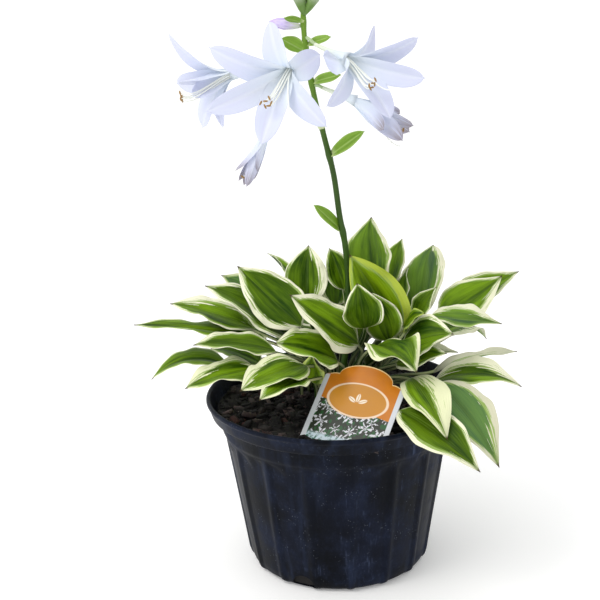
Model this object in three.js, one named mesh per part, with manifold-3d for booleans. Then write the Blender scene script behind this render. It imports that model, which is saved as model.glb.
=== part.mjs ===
// A hosta in a black nursery pot: variegated leaves on their own stalks, one flower scape
// with open blooms, a printed plant card, potting soil and the fluted plastic pot.
// Millimetres, +Z up. The origin is the middle of the pot's foot, and the front is -Y.

import * as THREE from "three";
import { mergeVertices } from "three/addons/utils/BufferGeometryUtils.js";
import Module from "manifold-3d";

const wasm = await Module();
wasm.setup();

// Pot
const POT_HEIGHT = 144;
const POT_RIM_RADIUS = 105;
const POT_FOOT_RADIUS = 69;
const POT_BASE_RADIUS = 75.5;
const POT_COLLAR_RADIUS = 93;
const POT_COLLAR_LOW = 117;
const POT_BAND_LOW = 129;
const POT_WALL = 2.4;
const POT_FLOOR = 3;
const POT_FLUTES = 16;
const POT_FLUTE_DEPTH = 1.6;
const POT_COLUMNS_PER_FLUTE = 3;
const DRAIN_COUNT = 3;
const DRAIN_FIRST_BEARING = -113;
const DRAIN_WIDTH = 20;
const DRAIN_HEIGHT = 11;
const DRAIN_LOW = 2;

// Soil
const SOIL_LEVEL = 132.5;
const SOIL_MOUND = 5;
const SOIL_GAP = 0.4;
const SOIL_COLUMNS = 32;
const SOIL_RINGS = 6;

// Crown: where the leaf stalks and the scape leave the soil
const CROWN = new THREE.Vector2(9, 10);
const FOOT_SPACING = 7.6;
const FOOT_SHARE_HIGH = 0.16;
const FOOT_SHARE_LOW = 0.44;
const FOOT_BOTTOM = 124;
const FOOT_TOP = 145;
const HOLE_RADIUS = 3.3;

// Leaf
const STALK_HALF_WIDTH = 2.1;
const STALK_THICKNESS = 2.8;
const BLADE_THICKNESS = 0.8;
const TIP_HALF_WIDTH = 0.5;

// Scape
const SCAPE_FOOT_RADIUS = 2.7;
const SCAPE_TOP_RADIUS = 1.9;
const FILAMENTS = 6;

// Card
const CARD_WIDTH = 66;
const CARD_LEFT_EDGE = 62;
const CARD_RIGHT_EDGE = 44;
const CARD_THICKNESS = 0.8;
const CARD_TOP_LEFT = new THREE.Vector3(-7, -35.7, 171.5);
const CARD_RIGHT = new THREE.Vector3(0.913, -0.398, -0.093).normalize();
const CARD_LEAN = new THREE.Vector3(0.362, 0.682, 0.636);

const UP = new THREE.Vector3(0, 0, 1);

const vec = (x, y, z) => new THREE.Vector3(x, y, z);
const radians = THREE.MathUtils.degToRad;
const mix = (a, b, t) => a.clone().lerp(b, t);

// A closed surface from triangles of points, as a manifold solid.
function solidFrom(positions, triangles) {
  const geometry = new THREE.BufferGeometry();
  geometry.setAttribute("position", new THREE.Float32BufferAttribute(positions, 3));
  geometry.setIndex(triangles);
  const merged = mergeVertices(geometry, 1e-3);
  return new wasm.Manifold(
    new wasm.Mesh({
      numProp: 3,
      vertProperties: merged.attributes.position.array,
      triVerts: new Uint32Array(merged.index.array),
    }),
  );
}

// The largest body's outer skin, with edges too short to matter collapsed.
function outerSkin(solid, tolerance = 0.12) {
  const bodies = solid.asOriginal().simplify(tolerance).decompose();
  return bodies.sort((a, b) => b.volume() - a.volume())[0];
}

// The manifold solid's surface as a three.js geometry.
function geometryOf(solid) {
  const mesh = solid.getMesh();
  const geometry = new THREE.BufferGeometry();
  geometry.setAttribute("position", new THREE.Float32BufferAttribute(mesh.vertProperties, 3));
  geometry.setIndex(new THREE.BufferAttribute(mesh.triVerts, 1));
  geometry.computeVertexNormals();
  return geometry;
}

// A solid skinned over rings of points with the same count. The first half of a ring is the
// upper face and the second half the lower face, and both are split along the same diagonals.
function loft(rings) {
  const count = rings[0].length;
  const half = count / 2;
  const positions = rings.flat().flatMap((p) => [p.x, p.y, p.z]);
  const triangles = [];
  for (let i = 0; i + 1 < rings.length; i++)
    for (let k = 0; k < count; k++) {
      const a = i * count + k;
      const b = i * count + ((k + 1) % count);
      const c = b + count;
      const d = a + count;
      if (k < half) triangles.push(a, b, c, a, c, d);
      else triangles.push(a, b, d, b, c, d);
    }
  const last = (rings.length - 1) * count;
  for (let k = 0; k + 1 < half; k++) {
    const far = count - 1 - k;
    triangles.push(k, far, k + 1, k + 1, far, far - 1);
    triangles.push(last + k, last + k + 1, last + far, last + k + 1, last + far - 1, last + far);
  }
  const solid = solidFrom(positions, triangles);
  if (solid.volume() > 0) return solid;
  for (let i = 0; i < triangles.length; i += 3)
    [triangles[i + 1], triangles[i + 2]] = [triangles[i + 2], triangles[i + 1]];
  return solidFrom(positions, triangles);
}

// A round rod along points, with a radius at each.
function rod(points, radii, sides = 6) {
  const whole = points.at(-1).clone().sub(points[0]).normalize();
  const reference = Math.abs(whole.z) > 0.7 ? vec(1, 0.2, 0) : UP;
  const rings = points.map((p, i) => {
    const ahead = points[Math.min(i + 1, points.length - 1)];
    const behind = points[Math.max(i - 1, 0)];
    const along = ahead.clone().sub(behind).normalize();
    const side = reference.clone().cross(along).normalize();
    const other = along.clone().cross(side);
    return Array.from({ length: sides }, (_, k) => {
      const angle = (2 * Math.PI * (k + 0.5)) / sides;
      return p
        .clone()
        .addScaledVector(side, radii[i] * Math.cos(angle))
        .addScaledVector(other, radii[i] * Math.sin(angle));
    });
  });
  return loft(rings);
}

// How wide a blade is along its length, as a share of its full width: t^a (1-t)^b, scaled to 1.
function bladeShape(t, a, b) {
  const peak = a / (a + b);
  return (t ** a * (1 - t) ** b) / (peak ** a * (1 - peak) ** b);
}

// One ring of a blade: the upper face from left to right, then the lower face back again.
function bladeRing(centre, side, normal, half, thick, rise, steps) {
  const upper = [];
  const lower = [];
  for (let j = 0; j <= steps; j++) {
    const u = (2 * j) / steps - 1;
    const edge = 0.5 * (thick * (1 - Math.abs(u)) + Math.min(thick, BLADE_THICKNESS) * Math.abs(u));
    const point = centre
      .clone()
      .addScaledVector(side, u * half)
      .addScaledVector(normal, rise(u));
    upper.push(point.clone().addScaledVector(normal, edge));
    lower.unshift(point.clone().addScaledVector(normal, -edge));
  }
  return [...upper, ...lower];
}

// The side and upper-face directions of a blade that runs along a direction, rolled about it.
function bladeAxes(along, sideways, roll) {
  const side = sideways.clone().addScaledVector(along, -sideways.dot(along)).normalize();
  side.applyAxisAngle(along, radians(roll));
  return { side, normal: side.clone().cross(along).normalize() };
}

// The leaves. neck: where the stalk meets the blade. tip: the blade's point. arch: how far the
// blade's middle bulges above the straight line. roll: turn about its length. fold: how far
// each half lifts, in degrees. wave: height of the edge's waves.
const LEAF_FIELDS = ["name", "neck", "tip", "width", "arch", "roll", "fold", "wave"];
const LEAVES = [
  // Upright leaves at the back
  ["leaf_tall_right", [36, 30, 222], [32, 41, 278], 50, 4, -8, 14, 2],
  ["leaf_tall_left", [-22, 28, 207], [-20, 46, 254], 36, 4, -35, 18, 2],
  ["leaf_slim_left", [-31, 50, 212], [-56, 78, 240], 30, 3, 26, 20, 1],
  ["leaf_slim_right", [50, 54, 216], [59, 74, 251], 24, 3, -4, 22, 1],
  ["leaf_rounded_right", [74, 34, 195], [86, 82, 243], 46, 8, -10, 8, 1],
  ["leaf_small_right", [63, 40, 195], [63, 56, 231], 25, 3, -20, 26, 2],
  // The left side
  ["leaf_left_broad", [-27, 4, 197], [-78, 26, 243], 46, -1, -40, 14, 2],
  ["leaf_left_behind", [-40, 40, 194], [-95, 60, 226], 38, 3, -20, 16, 1],
  ["leaf_left_dark", [-37, 9, 185], [-105, 22, 228], 44, 4, -14, 16, 3],
  ["leaf_left_pale", [-67, 18, 191], [-135, 26, 212], 42, 3, -12, 14, 2],
  ["leaf_left_flat", [-70, 4, 189], [-162, 2, 202], 38, 1, 2, 12, 2],
  ["leaf_left_lower", [-47, -18, 183], [-110, -34, 196], 38, 3, -10, 14, 2],
  ["leaf_left_droop", [-86, -4, 165], [-148, -12, 160], 36, 12, -4, 12, 1],
  ["leaf_left_tucked", [-62, 22, 158], [-104, 32, 170], 34, 4, -8, 12, 1],
  ["leaf_left_front", [-60, -36, 174], [-115, -58, 169], 40, 4, -8, 12, 3],
  // The front
  ["leaf_front_over_soil", [-23, -38, 178], [-71, -78, 174], 44, 2, -8, 14, 3],
  ["leaf_front_cream", [18, -26, 191], [-33, -46, 239], 44, -2, -60, 14, 3],
  ["leaf_front_folded", [1, -38, 182], [-45, -60, 205], 44, 2, -34, 18, 3],
  ["leaf_front_facing", [-14, -28, 160], [-18, -31, 186], 24, 0, 170, 14, 2],
  ["leaf_front_low", [-22, -56, 173], [-56, -92, 172], 30, 2, 0, 14, 2],
  // The middle
  ["leaf_middle_bright", [51, 6, 188], [13, 1, 257], 42, 5, -145, 20, 4],
  ["leaf_middle_hung", [43, -11, 190], [29, -20, 232], 30, 2, 155, 16, 3],
  ["leaf_middle_lime", [56, -12, 197], [71, -20, 214], 22, 3, 20, 12, 1],
  ["leaf_middle_dark", [24, -27, 206], [18, -43, 246], 32, 3, 175, 22, 3],
  ["leaf_middle_small", [8, 24, 222], [-3, 31, 255], 22, 3, -14, 30, 2],
  ["leaf_middle_back", [1, 43, 202], [2, 58, 237], 30, 4, 0, 20, 2],
  // The right side
  ["leaf_right_high", [86, 22, 196], [139, 38, 227], 40, -4, 34, 16, 1],
  ["leaf_right_high_back", [92, 42, 195], [156, 60, 224], 34, 1, 26, 16, 1],
  ["leaf_right_reach", [77, -5, 206], [132, -14, 202], 32, 1, 14, 14, 2],
  ["leaf_right_sharp", [68, 9, 194], [83, 15, 225], 25, 2, 20, 26, 1],
  ["leaf_right_facing", [55, -16, 184], [92, -34, 201], 40, 4, 36, 14, 2],
  ["leaf_right_under", [58, -8, 168], [98, -14, 179], 28, 3, 8, 14, 2],
  ["leaf_right_level", [49, -25, 174], [86, -44, 189], 34, 0, 22, 14, 2],
  ["leaf_front_curled", [32, -38, 192], [61, -75, 185], 42, 6, 4, 18, 7],
  ["leaf_right_pale", [83, 28, 148], [153, 39, 160], 34, 3, -36, 10, 2],
  ["leaf_right_low", [80, -12, 153], [147, -25, 153], 36, 10, 14, 12, 2],
  ["leaf_corner_short", [60, -38, 166], [81, -106, 144], 34, 8, 12, 12, 3],
  ["leaf_corner_broad", [79, -34, 160], [121, -92, 115], 44, 8, 14, 10, 3],
  ["leaf_corner_hanging", [48, -72, 153], [103, -123, 126], 40, 4, 10, 12, 3],
  // Inside, between the taller ones
  ["leaf_inner_left", [-19, 33, 164], [-50, 54, 177], 40, 4, -18, 14, 2],
  ["leaf_inner_back", [18, 46, 166], [17, 62, 218], 44, 4, 0, 16, 2],
  ["leaf_inner_middle", [28, 2, 163], [42, -6, 192], 24, 2, 0, 14, 2],
  ["leaf_inner_right", [58, 19, 191], [38, 10, 237], 22, 3, -164, 14, 2],
  // The far side
  ["leaf_back_middle", [10, 76, 186], [14, 142, 196], 42, 13, 6, 14, 2],
  ["leaf_back_left", [-36, 74, 180], [-72, 128, 184], 42, 13, -6, 14, 2],
  ["leaf_back_right", [54, 78, 182], [94, 130, 190], 42, 13, 8, 14, 2],
  ["leaf_back_low_left", [-62, 54, 160], [-116, 94, 154], 40, 15, -4, 12, 3],
  ["leaf_back_low_right", [78, 56, 160], [134, 92, 154], 40, 15, 6, 12, 3],
  ["leaf_back_low", [-12, 80, 160], [-22, 140, 146], 42, 15, 0, 12, 3],
].map((row) => Object.fromEntries(row.map((value, i) => [LEAF_FIELDS[i], value])));

// Leaves that touch where their stalks cross make one piece.
const JOINED = [["leaves_front_left", ["leaf_front_over_soil", "leaf_front_low", "leaf_front_facing"]]];

// Where each stalk leaves the soil: a share of the way to its neck, more for the low outer
// leaves, then the feet crowd each other outwards until all are a stalk's room apart. The
// scape's foot is the last one.
function crownFeet(necks) {
  const feet = necks.map(([x, y, z]) => {
    const share = THREE.MathUtils.mapLinear(z, 230, 150, FOOT_SHARE_HIGH, FOOT_SHARE_LOW);
    return CROWN.clone().add(new THREE.Vector2(x, y).sub(CROWN).multiplyScalar(share));
  });
  feet.push(CROWN.clone());
  for (let pass = 0; pass < 400; pass++)
    for (let i = 0; i < feet.length; i++)
      for (let j = i + 1; j < feet.length; j++) {
        const apart = feet[j].clone().sub(feet[i]);
        const short = FOOT_SPACING - apart.length();
        if (short <= 0) continue;
        apart.normalize().multiplyScalar(short / 2);
        feet[j].add(apart);
        feet[i].sub(apart);
      }
  return feet;
}

// A leaf in one skin: its stalk rises from the soil, leans out to the neck and widens into
// the blade, which arches over to its point.
function leaf({ neck, tip, width, arch, roll, fold, wave }, foot) {
  const neckPoint = vec(...neck);
  const tipPoint = vec(...tip);
  const reach = tipPoint.clone().sub(neckPoint);
  const heading = vec(tip[0] - foot.x, tip[1] - foot.y, 0).normalize();
  const sideways = heading.clone().cross(UP);
  const lifted = bladeAxes(reach.clone().normalize(), sideways, roll).normal;
  const bulge = lifted.clone().lerp(UP, 0.5).normalize().multiplyScalar((4 / 3) * arch);
  const blade = new THREE.CubicBezierCurve3(
    neckPoint,
    mix(neckPoint, tipPoint, 0.33).add(bulge),
    mix(neckPoint, tipPoint, 0.7).add(bulge),
    tipPoint,
  );
  const start = blade.getTangent(0);
  const top = vec(foot.x, foot.y, FOOT_TOP);
  const rise = neckPoint.distanceTo(top);
  const stalk = new THREE.CubicBezierCurve3(
    top,
    top.clone().addScaledVector(UP, Math.min(0.4 * rise, 6 + 0.5 * (neckPoint.z - FOOT_TOP))),
    neckPoint.clone().addScaledVector(start, -0.3 * rise),
    neckPoint,
  );
  const rings = [];
  const place = (centre, along, half, thick, rollShare, t) => {
    const { side, normal } = bladeAxes(along, sideways, roll * rollShare);
    const lift = (u) =>
      Math.abs(u) * half * Math.sin(radians(fold)) * (t > 0 ? 1 : 0.3) +
      wave * Math.sin(Math.PI * t) * u * u * Math.sin(2 * Math.PI * (1.6 * t + (u < 0 ? 0.35 : 0)));
    rings.push(bladeRing(centre, side, normal, half, thick, lift, 4));
  };
  place(vec(foot.x, foot.y, FOOT_BOTTOM), UP, STALK_HALF_WIDTH, STALK_THICKNESS, 0, 0);
  place(top, UP, STALK_HALF_WIDTH, STALK_THICKNESS, 0, 0);
  for (const t of [0.5, 1]) place(stalk.getPoint(t), stalk.getTangent(t), STALK_HALF_WIDTH, STALK_THICKNESS, t, 0);
  for (const t of [0.08, 0.24, 0.42, 0.6, 0.8, 1]) {
    const half = Math.max((bladeShape(Math.min(t, 0.999), 0.7, 1.15) * width) / 2, TIP_HALF_WIDTH);
    const thick = THREE.MathUtils.lerp(1.8, BLADE_THICKNESS, Math.min(1, t * 1.6));
    place(blade.getPoint(t), blade.getTangent(t), half, thick, 1, t);
  }
  return loft(rings);
}

// The scape's line, from its foot in the crown to the tip of the raceme.
const SCAPE_POINTS = [
  [11, 14, 190],
  [12, 16, 232],
  [10, 13, 262],
  [6, 10, 287],
  [2, 8, 320],
  [-4, 6, 347],
  [-11, 3, 379],
  [-16, 1, 409],
  [-18, 0, 431],
  [-18, 0, 458],
];

// Bracts: [foot on the scape, tip, width, roll]
const BRACTS = [
  [[-17, 0, 415], [-35, -6, 426], 12, 60],
  [[-16, 0, 420], [2, -4, 426], 8, 50],
  [[-12, 2, 392], [9, -6, 398], 10, 50],
  [[0, 7, 335], [26, -4, 355], 12, 60],
  [[8, 13, 273], [-14, 4, 297], 11, -60],
  [[-7, 4, 361], [-14, -5, 365], 7, 10],
  [[-18, -2, 437], [-32, -12, 441], 6, 50],
];

// Blooms: stem is the foot of the flower's own stalk, base the flower's foot, throat the
// mouth of its tube, face where the open flower looks, tips its six petals, anthers the
// middle of its filaments' ends and style the end of its longest one.
const BLOOMS = [
  {
    name: "bloom_front_left",
    stem: [-16, 0, 412],
    base: [-22, -9, 410],
    throat: [-30, -40, 404],
    face: [-0.3, -0.88, -0.3],
    tips: [[-42, -26, 440], [-85, -46, 424], [-88, -58, 380], [-49, -62, 356], [-2, -58, 367], [-6, -32, 416]],
    anthers: [-44, -66, 386],
    style: [-28, -74, 379],
    width: 21,
  },
  {
    name: "bloom_left",
    stem: [-16, 2, 407],
    base: [-24, 6, 407],
    throat: [-75, 8, 400],
    face: [-0.75, -0.45, -0.35],
    tips: [[-120, 4, 431], [-113, -10, 396], [-103, -6, 384], [-99, 14, 358], [-83, 12, 358], [-118, 20, 392]],
    anthers: [-111, -12, 385],
    style: [-131, -8, 382],
    width: 19,
  },
  {
    name: "bloom_hanging",
    stem: [-15, 1, 404],
    base: [-24, 6, 394],
    throat: [-47, -2, 359],
    face: [-0.4, -0.25, -0.88],
    tips: [[-72, -18, 330], [-64, -22, 318], [-71, -8, 320], [-61, -4, 319], [-56, -14, 328], [-67, -12, 317]],
    anthers: [-65, -12, 322],
    style: [-75, -16, 329],
    width: 9.5,
  },
  {
    name: "bloom_right",
    stem: [-17, 0, 426],
    base: [-10, -6, 421],
    throat: [15, -22, 410],
    face: [0.6, -0.72, -0.35],
    tips: [[65, -32, 426], [69, -44, 398], [35, 8, 432], [-4, -13, 413], [-2, -54, 381], [44, -46, 370]],
    anthers: [31, -50, 395],
    style: [46, -53, 392],
    width: 20,
  },
  {
    name: "bloom_right_low",
    stem: [-11, 2, 390],
    base: [-5, 1, 388],
    throat: [20, -3, 378],
    face: [0.7, -0.45, -0.55],
    tips: [[63, -10, 359], [54, -22, 350], [61, 6, 352], [54, 10, 366], [40, -24, 359], [56, 0, 352]],
    anthers: [55, -10, 356],
    style: [53, -10, 344],
    width: 15,
  },
];

const BUD_LEFT = { stem: [-18, 1, 433], base: [-21, 1, 434], tip: [-44, -1, 438], radius: 4.4 };
const TOP_BUDS = [
  [[-17, -1, 442], [-25, -4, 468], 4.6],
  [[-17, -1, 443], [-2, -4, 466], 4.2],
  [[-18, 0, 456], [-14, 2, 484], 4.6],
  [[-18, 0, 450], [-9, 6, 474], 4],
];

// A thin petal or bract from a foot to a tip, leaving along a direction.
function petal(foot, lead, tip, width, sideways, roll, thick = 0.8) {
  const length = foot.distanceTo(tip);
  const curve = new THREE.CubicBezierCurve3(
    foot,
    foot.clone().addScaledVector(lead, 0.32 * length),
    mix(foot, tip, 0.72).addScaledVector(lead, 0.12 * length),
    tip,
  );
  const rings = [0, 0.2, 0.4, 0.6, 0.8, 1].map((t) => {
    const { side, normal } = bladeAxes(curve.getTangent(t), sideways, roll);
    const half = Math.max((width / 2) * bladeShape(Math.min(t + 0.04, 0.999), 0.8, 0.75), 0.6);
    return bladeRing(curve.getPoint(t), side, normal, half, thick, (u) => 0.2 * half * Math.abs(u), 2);
  });
  return loft(rings);
}

// A spindle: a closed bud or a swollen stalk.
function spindle(from, to, radius) {
  const shares = [0, 0.2, 0.5, 0.8, 1];
  const swell = [0.35, 0.75, 1, 0.65, 0.12];
  return rod(shares.map((t) => mix(from, to, t)), swell.map((s) => s * radius), 6);
}

// One bloom: a slim tube that opens into a throat, two rings of three petals, six
// upcurved filaments and a longer style.
function bloom({ base, throat, face, tips, anthers, style, width }) {
  const from = vec(...base);
  const end = vec(...throat);
  const axis = end.clone().sub(from).normalize();
  const facing = vec(...face).normalize();
  const mouth = 0.3 * width;
  const shares = [0, 0.35, 0.7, 1];
  const tube = rod(shares.map((t) => mix(from, end, t)), [1.4, 1.8, 0.58 * mouth, mouth], 7);
  const parts = [tube];
  tips.forEach((point, k) => {
    const tip = vec(...point);
    const out = tip.clone().sub(end);
    out.addScaledVector(facing, -out.dot(facing)).normalize();
    const foot = end.clone().addScaledVector(axis, -0.8 * mouth).addScaledVector(out, (k % 2 ? 0.72 : 0.62) * mouth);
    const lead = axis.clone().add(facing).normalize();
    parts.push(petal(foot, lead, tip, width * (k % 2 ? 1 : 0.92), out.clone().cross(facing), 0));
  });
  const guide = UP.clone().cross(axis).normalize();
  const other = axis.clone().cross(guide);
  for (let k = 0; k <= FILAMENTS; k++) {
    const angle = (2 * Math.PI * k) / FILAMENTS;
    const fan = guide.clone().multiplyScalar(Math.cos(angle)).addScaledVector(other, Math.sin(angle));
    const last = k < FILAMENTS ? vec(...anthers).addScaledVector(fan, 3.2 + 1.6 * Math.sin(2.4 * k)) : vec(...style);
    const start = end.clone().addScaledVector(axis, -0.9 * mouth).addScaledVector(fan, 0.2 * mouth);
    const reach = last.distanceTo(start);
    const curve = new THREE.CubicBezierCurve3(
      start,
      start.clone().addScaledVector(axis.clone().add(facing).normalize(), 0.4 * reach),
      mix(start, last, 0.72).addScaledVector(UP, -0.2 * reach),
      last,
    );
    parts.push(rod([0, 0.35, 0.7, 1].map((t) => curve.getPoint(t)), [0.7, 0.7, 0.6, 0.5], 3));
  }
  return outerSkin(parts.reduce((sum, part) => sum.add(part)), 0.35);
}

function scape(foot) {
  const line = [vec(foot.x, foot.y, FOOT_BOTTOM), vec(foot.x, foot.y, FOOT_TOP), ...SCAPE_POINTS.map((p) => vec(...p))];
  const radii = line.map((_, i) => THREE.MathUtils.lerp(SCAPE_FOOT_RADIUS, SCAPE_TOP_RADIUS, i / (line.length - 1)));
  const parts = [rod(line, radii, 8)];
  for (const [from, to, width, roll] of BRACTS) {
    const start = vec(...from);
    const end = vec(...to);
    const heading = end.clone().sub(start).setZ(0).normalize();
    const lead = end.clone().sub(start).normalize();
    parts.push(petal(start, lead, end, width, heading.cross(UP), roll, 1));
  }
  for (const { stem, base } of [...BLOOMS, BUD_LEFT]) {
    const start = vec(...stem);
    const end = vec(...base);
    end.sub(end.clone().sub(start).normalize().multiplyScalar(0.8));
    parts.push(rod([start, end], [1.3, 1.3], 5));
  }
  for (const [from, to, radius] of TOP_BUDS) parts.push(spindle(vec(...from), vec(...to), radius));
  return outerSkin(parts.reduce((sum, part) => sum.add(part)));
}

// The pot's wall as one closed skin: a profile turned about Z, with shallow flutes on its body.
function pot() {
  const columns = POT_FLUTES * POT_COLUMNS_PER_FLUTE;
  const inner = POT_WALL + POT_FLUTE_DEPTH;
  // [radius, height, share of the flute's depth]
  const profile = [
    [POT_FOOT_RADIUS, 0, 1],
    [POT_BASE_RADIUS - 1.8, 3.5, 1],
    [POT_BASE_RADIUS, 9, 1],
    [POT_COLLAR_RADIUS - 2, POT_COLLAR_LOW - 6, 1],
    [POT_COLLAR_RADIUS - 0.5, POT_COLLAR_LOW, 0],
    [POT_COLLAR_RADIUS + 1.5, POT_BAND_LOW, 0],
    [POT_RIM_RADIUS - 4.5, POT_BAND_LOW + 1.5, 0],
    [POT_RIM_RADIUS - 1, POT_HEIGHT - 3, 0],
    [POT_RIM_RADIUS, POT_HEIGHT - 2, 0],
    [POT_RIM_RADIUS - 0.6, POT_HEIGHT, 0],
    [POT_RIM_RADIUS - 3.4, POT_HEIGHT, 0],
    [POT_RIM_RADIUS - 7, POT_BAND_LOW + 3, 0],
    [POT_COLLAR_RADIUS - inner + 2, POT_BAND_LOW - 4, 0],
    [POT_COLLAR_RADIUS - inner - 2, POT_COLLAR_LOW - 3, 0],
    [POT_BASE_RADIUS - inner, POT_FLOOR, 0],
  ];
  const positions = [];
  for (const [radius, height, flute] of profile)
    for (let k = 0; k < columns; k++) {
      const angle = (2 * Math.PI * (k + 1)) / columns;
      const r = radius - (k % POT_COLUMNS_PER_FLUTE ? POT_FLUTE_DEPTH * flute : 0);
      positions.push(r * Math.cos(angle), r * Math.sin(angle), height);
    }
  const triangles = [];
  for (let i = 0; i + 1 < profile.length; i++)
    for (let k = 0; k < columns; k++) {
      const a = i * columns + k;
      const b = i * columns + ((k + 1) % columns);
      triangles.push(a, b, b + columns, a, b + columns, a + columns);
    }
  const low = positions.length / 3;
  positions.push(0, 0, 0, 0, 0, POT_FLOOR);
  const last = (profile.length - 1) * columns;
  for (let k = 0; k < columns; k++) {
    const next = (k + 1) % columns;
    triangles.push(low, next, k);
    triangles.push(low + 1, last + k, last + next);
  }
  let solid = solidFrom(positions, triangles);
  for (let i = 0; i < DRAIN_COUNT; i++) {
    const bearing = radians(DRAIN_FIRST_BEARING + (360 * i) / DRAIN_COUNT);
    const arch = new THREE.Shape();
    arch.absarc(0, 0, DRAIN_WIDTH / 2, 0, Math.PI, false);
    const drain = new THREE.ExtrudeGeometry(arch, { depth: 30, bevelEnabled: false, curveSegments: 6 });
    drain.scale(1, DRAIN_HEIGHT / (DRAIN_WIDTH / 2), 1);
    drain.rotateX(Math.PI / 2);
    drain.rotateZ(Math.PI / 2);
    drain.translate(POT_FOOT_RADIUS - 6, 0, DRAIN_LOW);
    drain.rotateZ(bearing);
    solid = solid.subtract(closed(drain));
  }
  return outerSkin(solid, 0.02);
}

// A closed three.js geometry as a manifold solid.
function closed(geometry) {
  const bare = geometry.clone();
  bare.deleteAttribute("normal");
  bare.deleteAttribute("uv");
  const merged = mergeVertices(bare, 1e-3);
  const index = merged.index ? [...merged.index.array] : [...merged.attributes.position.array.keys()];
  return solidFrom([...merged.attributes.position.array], index);
}

// The height of the soil: a low mound under the crown, with lumps.
function soilHeight(x, y) {
  const mound = SOIL_MOUND * Math.exp(-((x - CROWN.x) ** 2 + (y - CROWN.y) ** 2) / 2400);
  const lumps =
    Math.sin(x * 0.21 + 1.3) * Math.cos(y * 0.17) +
    0.7 * Math.sin(x * 0.37 - y * 0.29) +
    0.5 * Math.cos(x * 0.11 + y * 0.43);
  return SOIL_LEVEL + mound + 0.8 * lumps;
}

function soil(feet, card) {
  const inner = POT_WALL + POT_FLUTE_DEPTH;
  const collar = POT_COLLAR_RADIUS - inner + 2 - SOIL_GAP;
  const base = POT_BASE_RADIUS - inner - SOIL_GAP;
  const bottom = POT_FLOOR + SOIL_GAP;
  const positions = [0, 0, soilHeight(0, 0), 0, 0, bottom];
  const ring = (radius, height) => {
    for (let k = 0; k < SOIL_COLUMNS; k++) {
      const angle = (2 * Math.PI * k) / SOIL_COLUMNS;
      const x = radius * Math.cos(angle);
      const y = radius * Math.sin(angle);
      positions.push(x, y, height ?? soilHeight(x, y));
    }
  };
  for (let i = 1; i <= SOIL_RINGS; i++) ring((i / SOIL_RINGS) * (POT_RIM_RADIUS - 10));
  ring(POT_RIM_RADIUS - 8, POT_BAND_LOW + 2);
  ring(collar - 0.6, POT_BAND_LOW - 4);
  ring(collar - 4.6, POT_COLLAR_LOW - 3);
  ring(base - 0.6, bottom);
  const triangles = [];
  const rings = SOIL_RINGS + 4;
  for (let k = 0; k < SOIL_COLUMNS; k++) {
    const next = (k + 1) % SOIL_COLUMNS;
    triangles.push(0, 2 + k, 2 + next);
    const last = 2 + (rings - 1) * SOIL_COLUMNS;
    triangles.push(1, last + next, last + k);
    for (let i = 0; i + 1 < rings; i++) {
      const a = 2 + i * SOIL_COLUMNS + k;
      const b = 2 + i * SOIL_COLUMNS + next;
      triangles.push(a, a + SOIL_COLUMNS, b + SOIL_COLUMNS, a, b + SOIL_COLUMNS, b);
    }
  }
  let solid = solidFrom(positions, triangles);
  for (const foot of feet) {
    const hole = [FOOT_BOTTOM - SOIL_GAP, FOOT_TOP + 2].map((z) =>
      Array.from({ length: 6 }, (_, k) => {
        const angle = (Math.PI * k) / 3;
        return vec(foot.x + HOLE_RADIUS * Math.cos(angle), foot.y + HOLE_RADIUS * Math.sin(angle), z);
      }),
    );
    solid = solid.subtract(loft(hole));
  }
  return outerSkin(solid.subtract(card), 0.18);
}

// The plant card: a flat sheet with a round top, and a narrow stake that bends down into
// the soil. A margin makes the slot that holds it.
function cardSolid(margin) {
  const right = CARD_RIGHT;
  const up = CARD_LEAN.clone().addScaledVector(right, -CARD_LEAN.dot(right)).normalize();
  const face = right.clone().cross(up);
  const w = CARD_WIDTH;
  const m = margin;
  const outline = new THREE.Shape();
  outline.moveTo(-m, m);
  outline.lineTo(-m, -CARD_LEFT_EDGE - m);
  outline.lineTo(w + m, -CARD_RIGHT_EDGE - m);
  outline.lineTo(w + m, m);
  outline.lineTo(w * 0.86, 2.5 + m);
  outline.absellipse(w / 2, 2.5 + m, w * 0.33, 11, 0, Math.PI, false);
  outline.lineTo(w * 0.14, 2.5 + m);
  const thick = CARD_THICKNESS + 2 * m;
  const sheet = new THREE.ExtrudeGeometry(outline, { depth: thick, bevelEnabled: false, curveSegments: 8 });
  sheet.translate(0, 0, -thick / 2);
  sheet.applyMatrix4(new THREE.Matrix4().makeBasis(right, up, face));
  sheet.translate(CARD_TOP_LEFT.x, CARD_TOP_LEFT.y, CARD_TOP_LEFT.z);
  const stakeTop = CARD_TOP_LEFT.clone().addScaledVector(right, 24).addScaledVector(up, -46);
  const down = up.clone().negate();
  const rings = [];
  const place = (centre, along, half) => {
    const normal = right.clone().cross(along).normalize();
    const side = along.clone().cross(normal).normalize();
    rings.push(bladeRing(centre, side, normal, half + m, thick, () => 0, 2));
  };
  let centre = stakeTop.clone();
  const along = down.clone();
  place(centre, along, 13);
  for (const [step, lean, half] of [[6, 0, 12], [5, 0.5, 10], [5, 0.8, 9], [8, 1, 8], [16 + m, 1, 4]]) {
    along.copy(down).lerp(vec(0, 0, -1), lean).normalize();
    centre = centre.clone().addScaledVector(along, step);
    place(centre, along, half);
  }
  return closed(sheet).add(loft(rings));
}

function material(color, roughness) {
  return new THREE.MeshStandardMaterial({ color, roughness, metalness: 0 });
}

const MATERIALS = {
  pot: material(0x1b1e26, 0.55),
  soil: material(0x1d1410, 0.95),
  leaf: material(0x4f8a1e, 0.45),
  scape: material(0x4d7d24, 0.5),
  bloom: material(0xdfe0fa, 0.6),
  bud: material(0xc9b4ee, 0.6),
  card: material(0xd98330, 0.4),
};

const hosta = new THREE.Group();
hosta.name = "potted_hosta";

function add(name, solid, finish) {
  const mesh = new THREE.Mesh(geometryOf(solid), finish);
  mesh.name = name;
  hosta.add(mesh);
}

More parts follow.
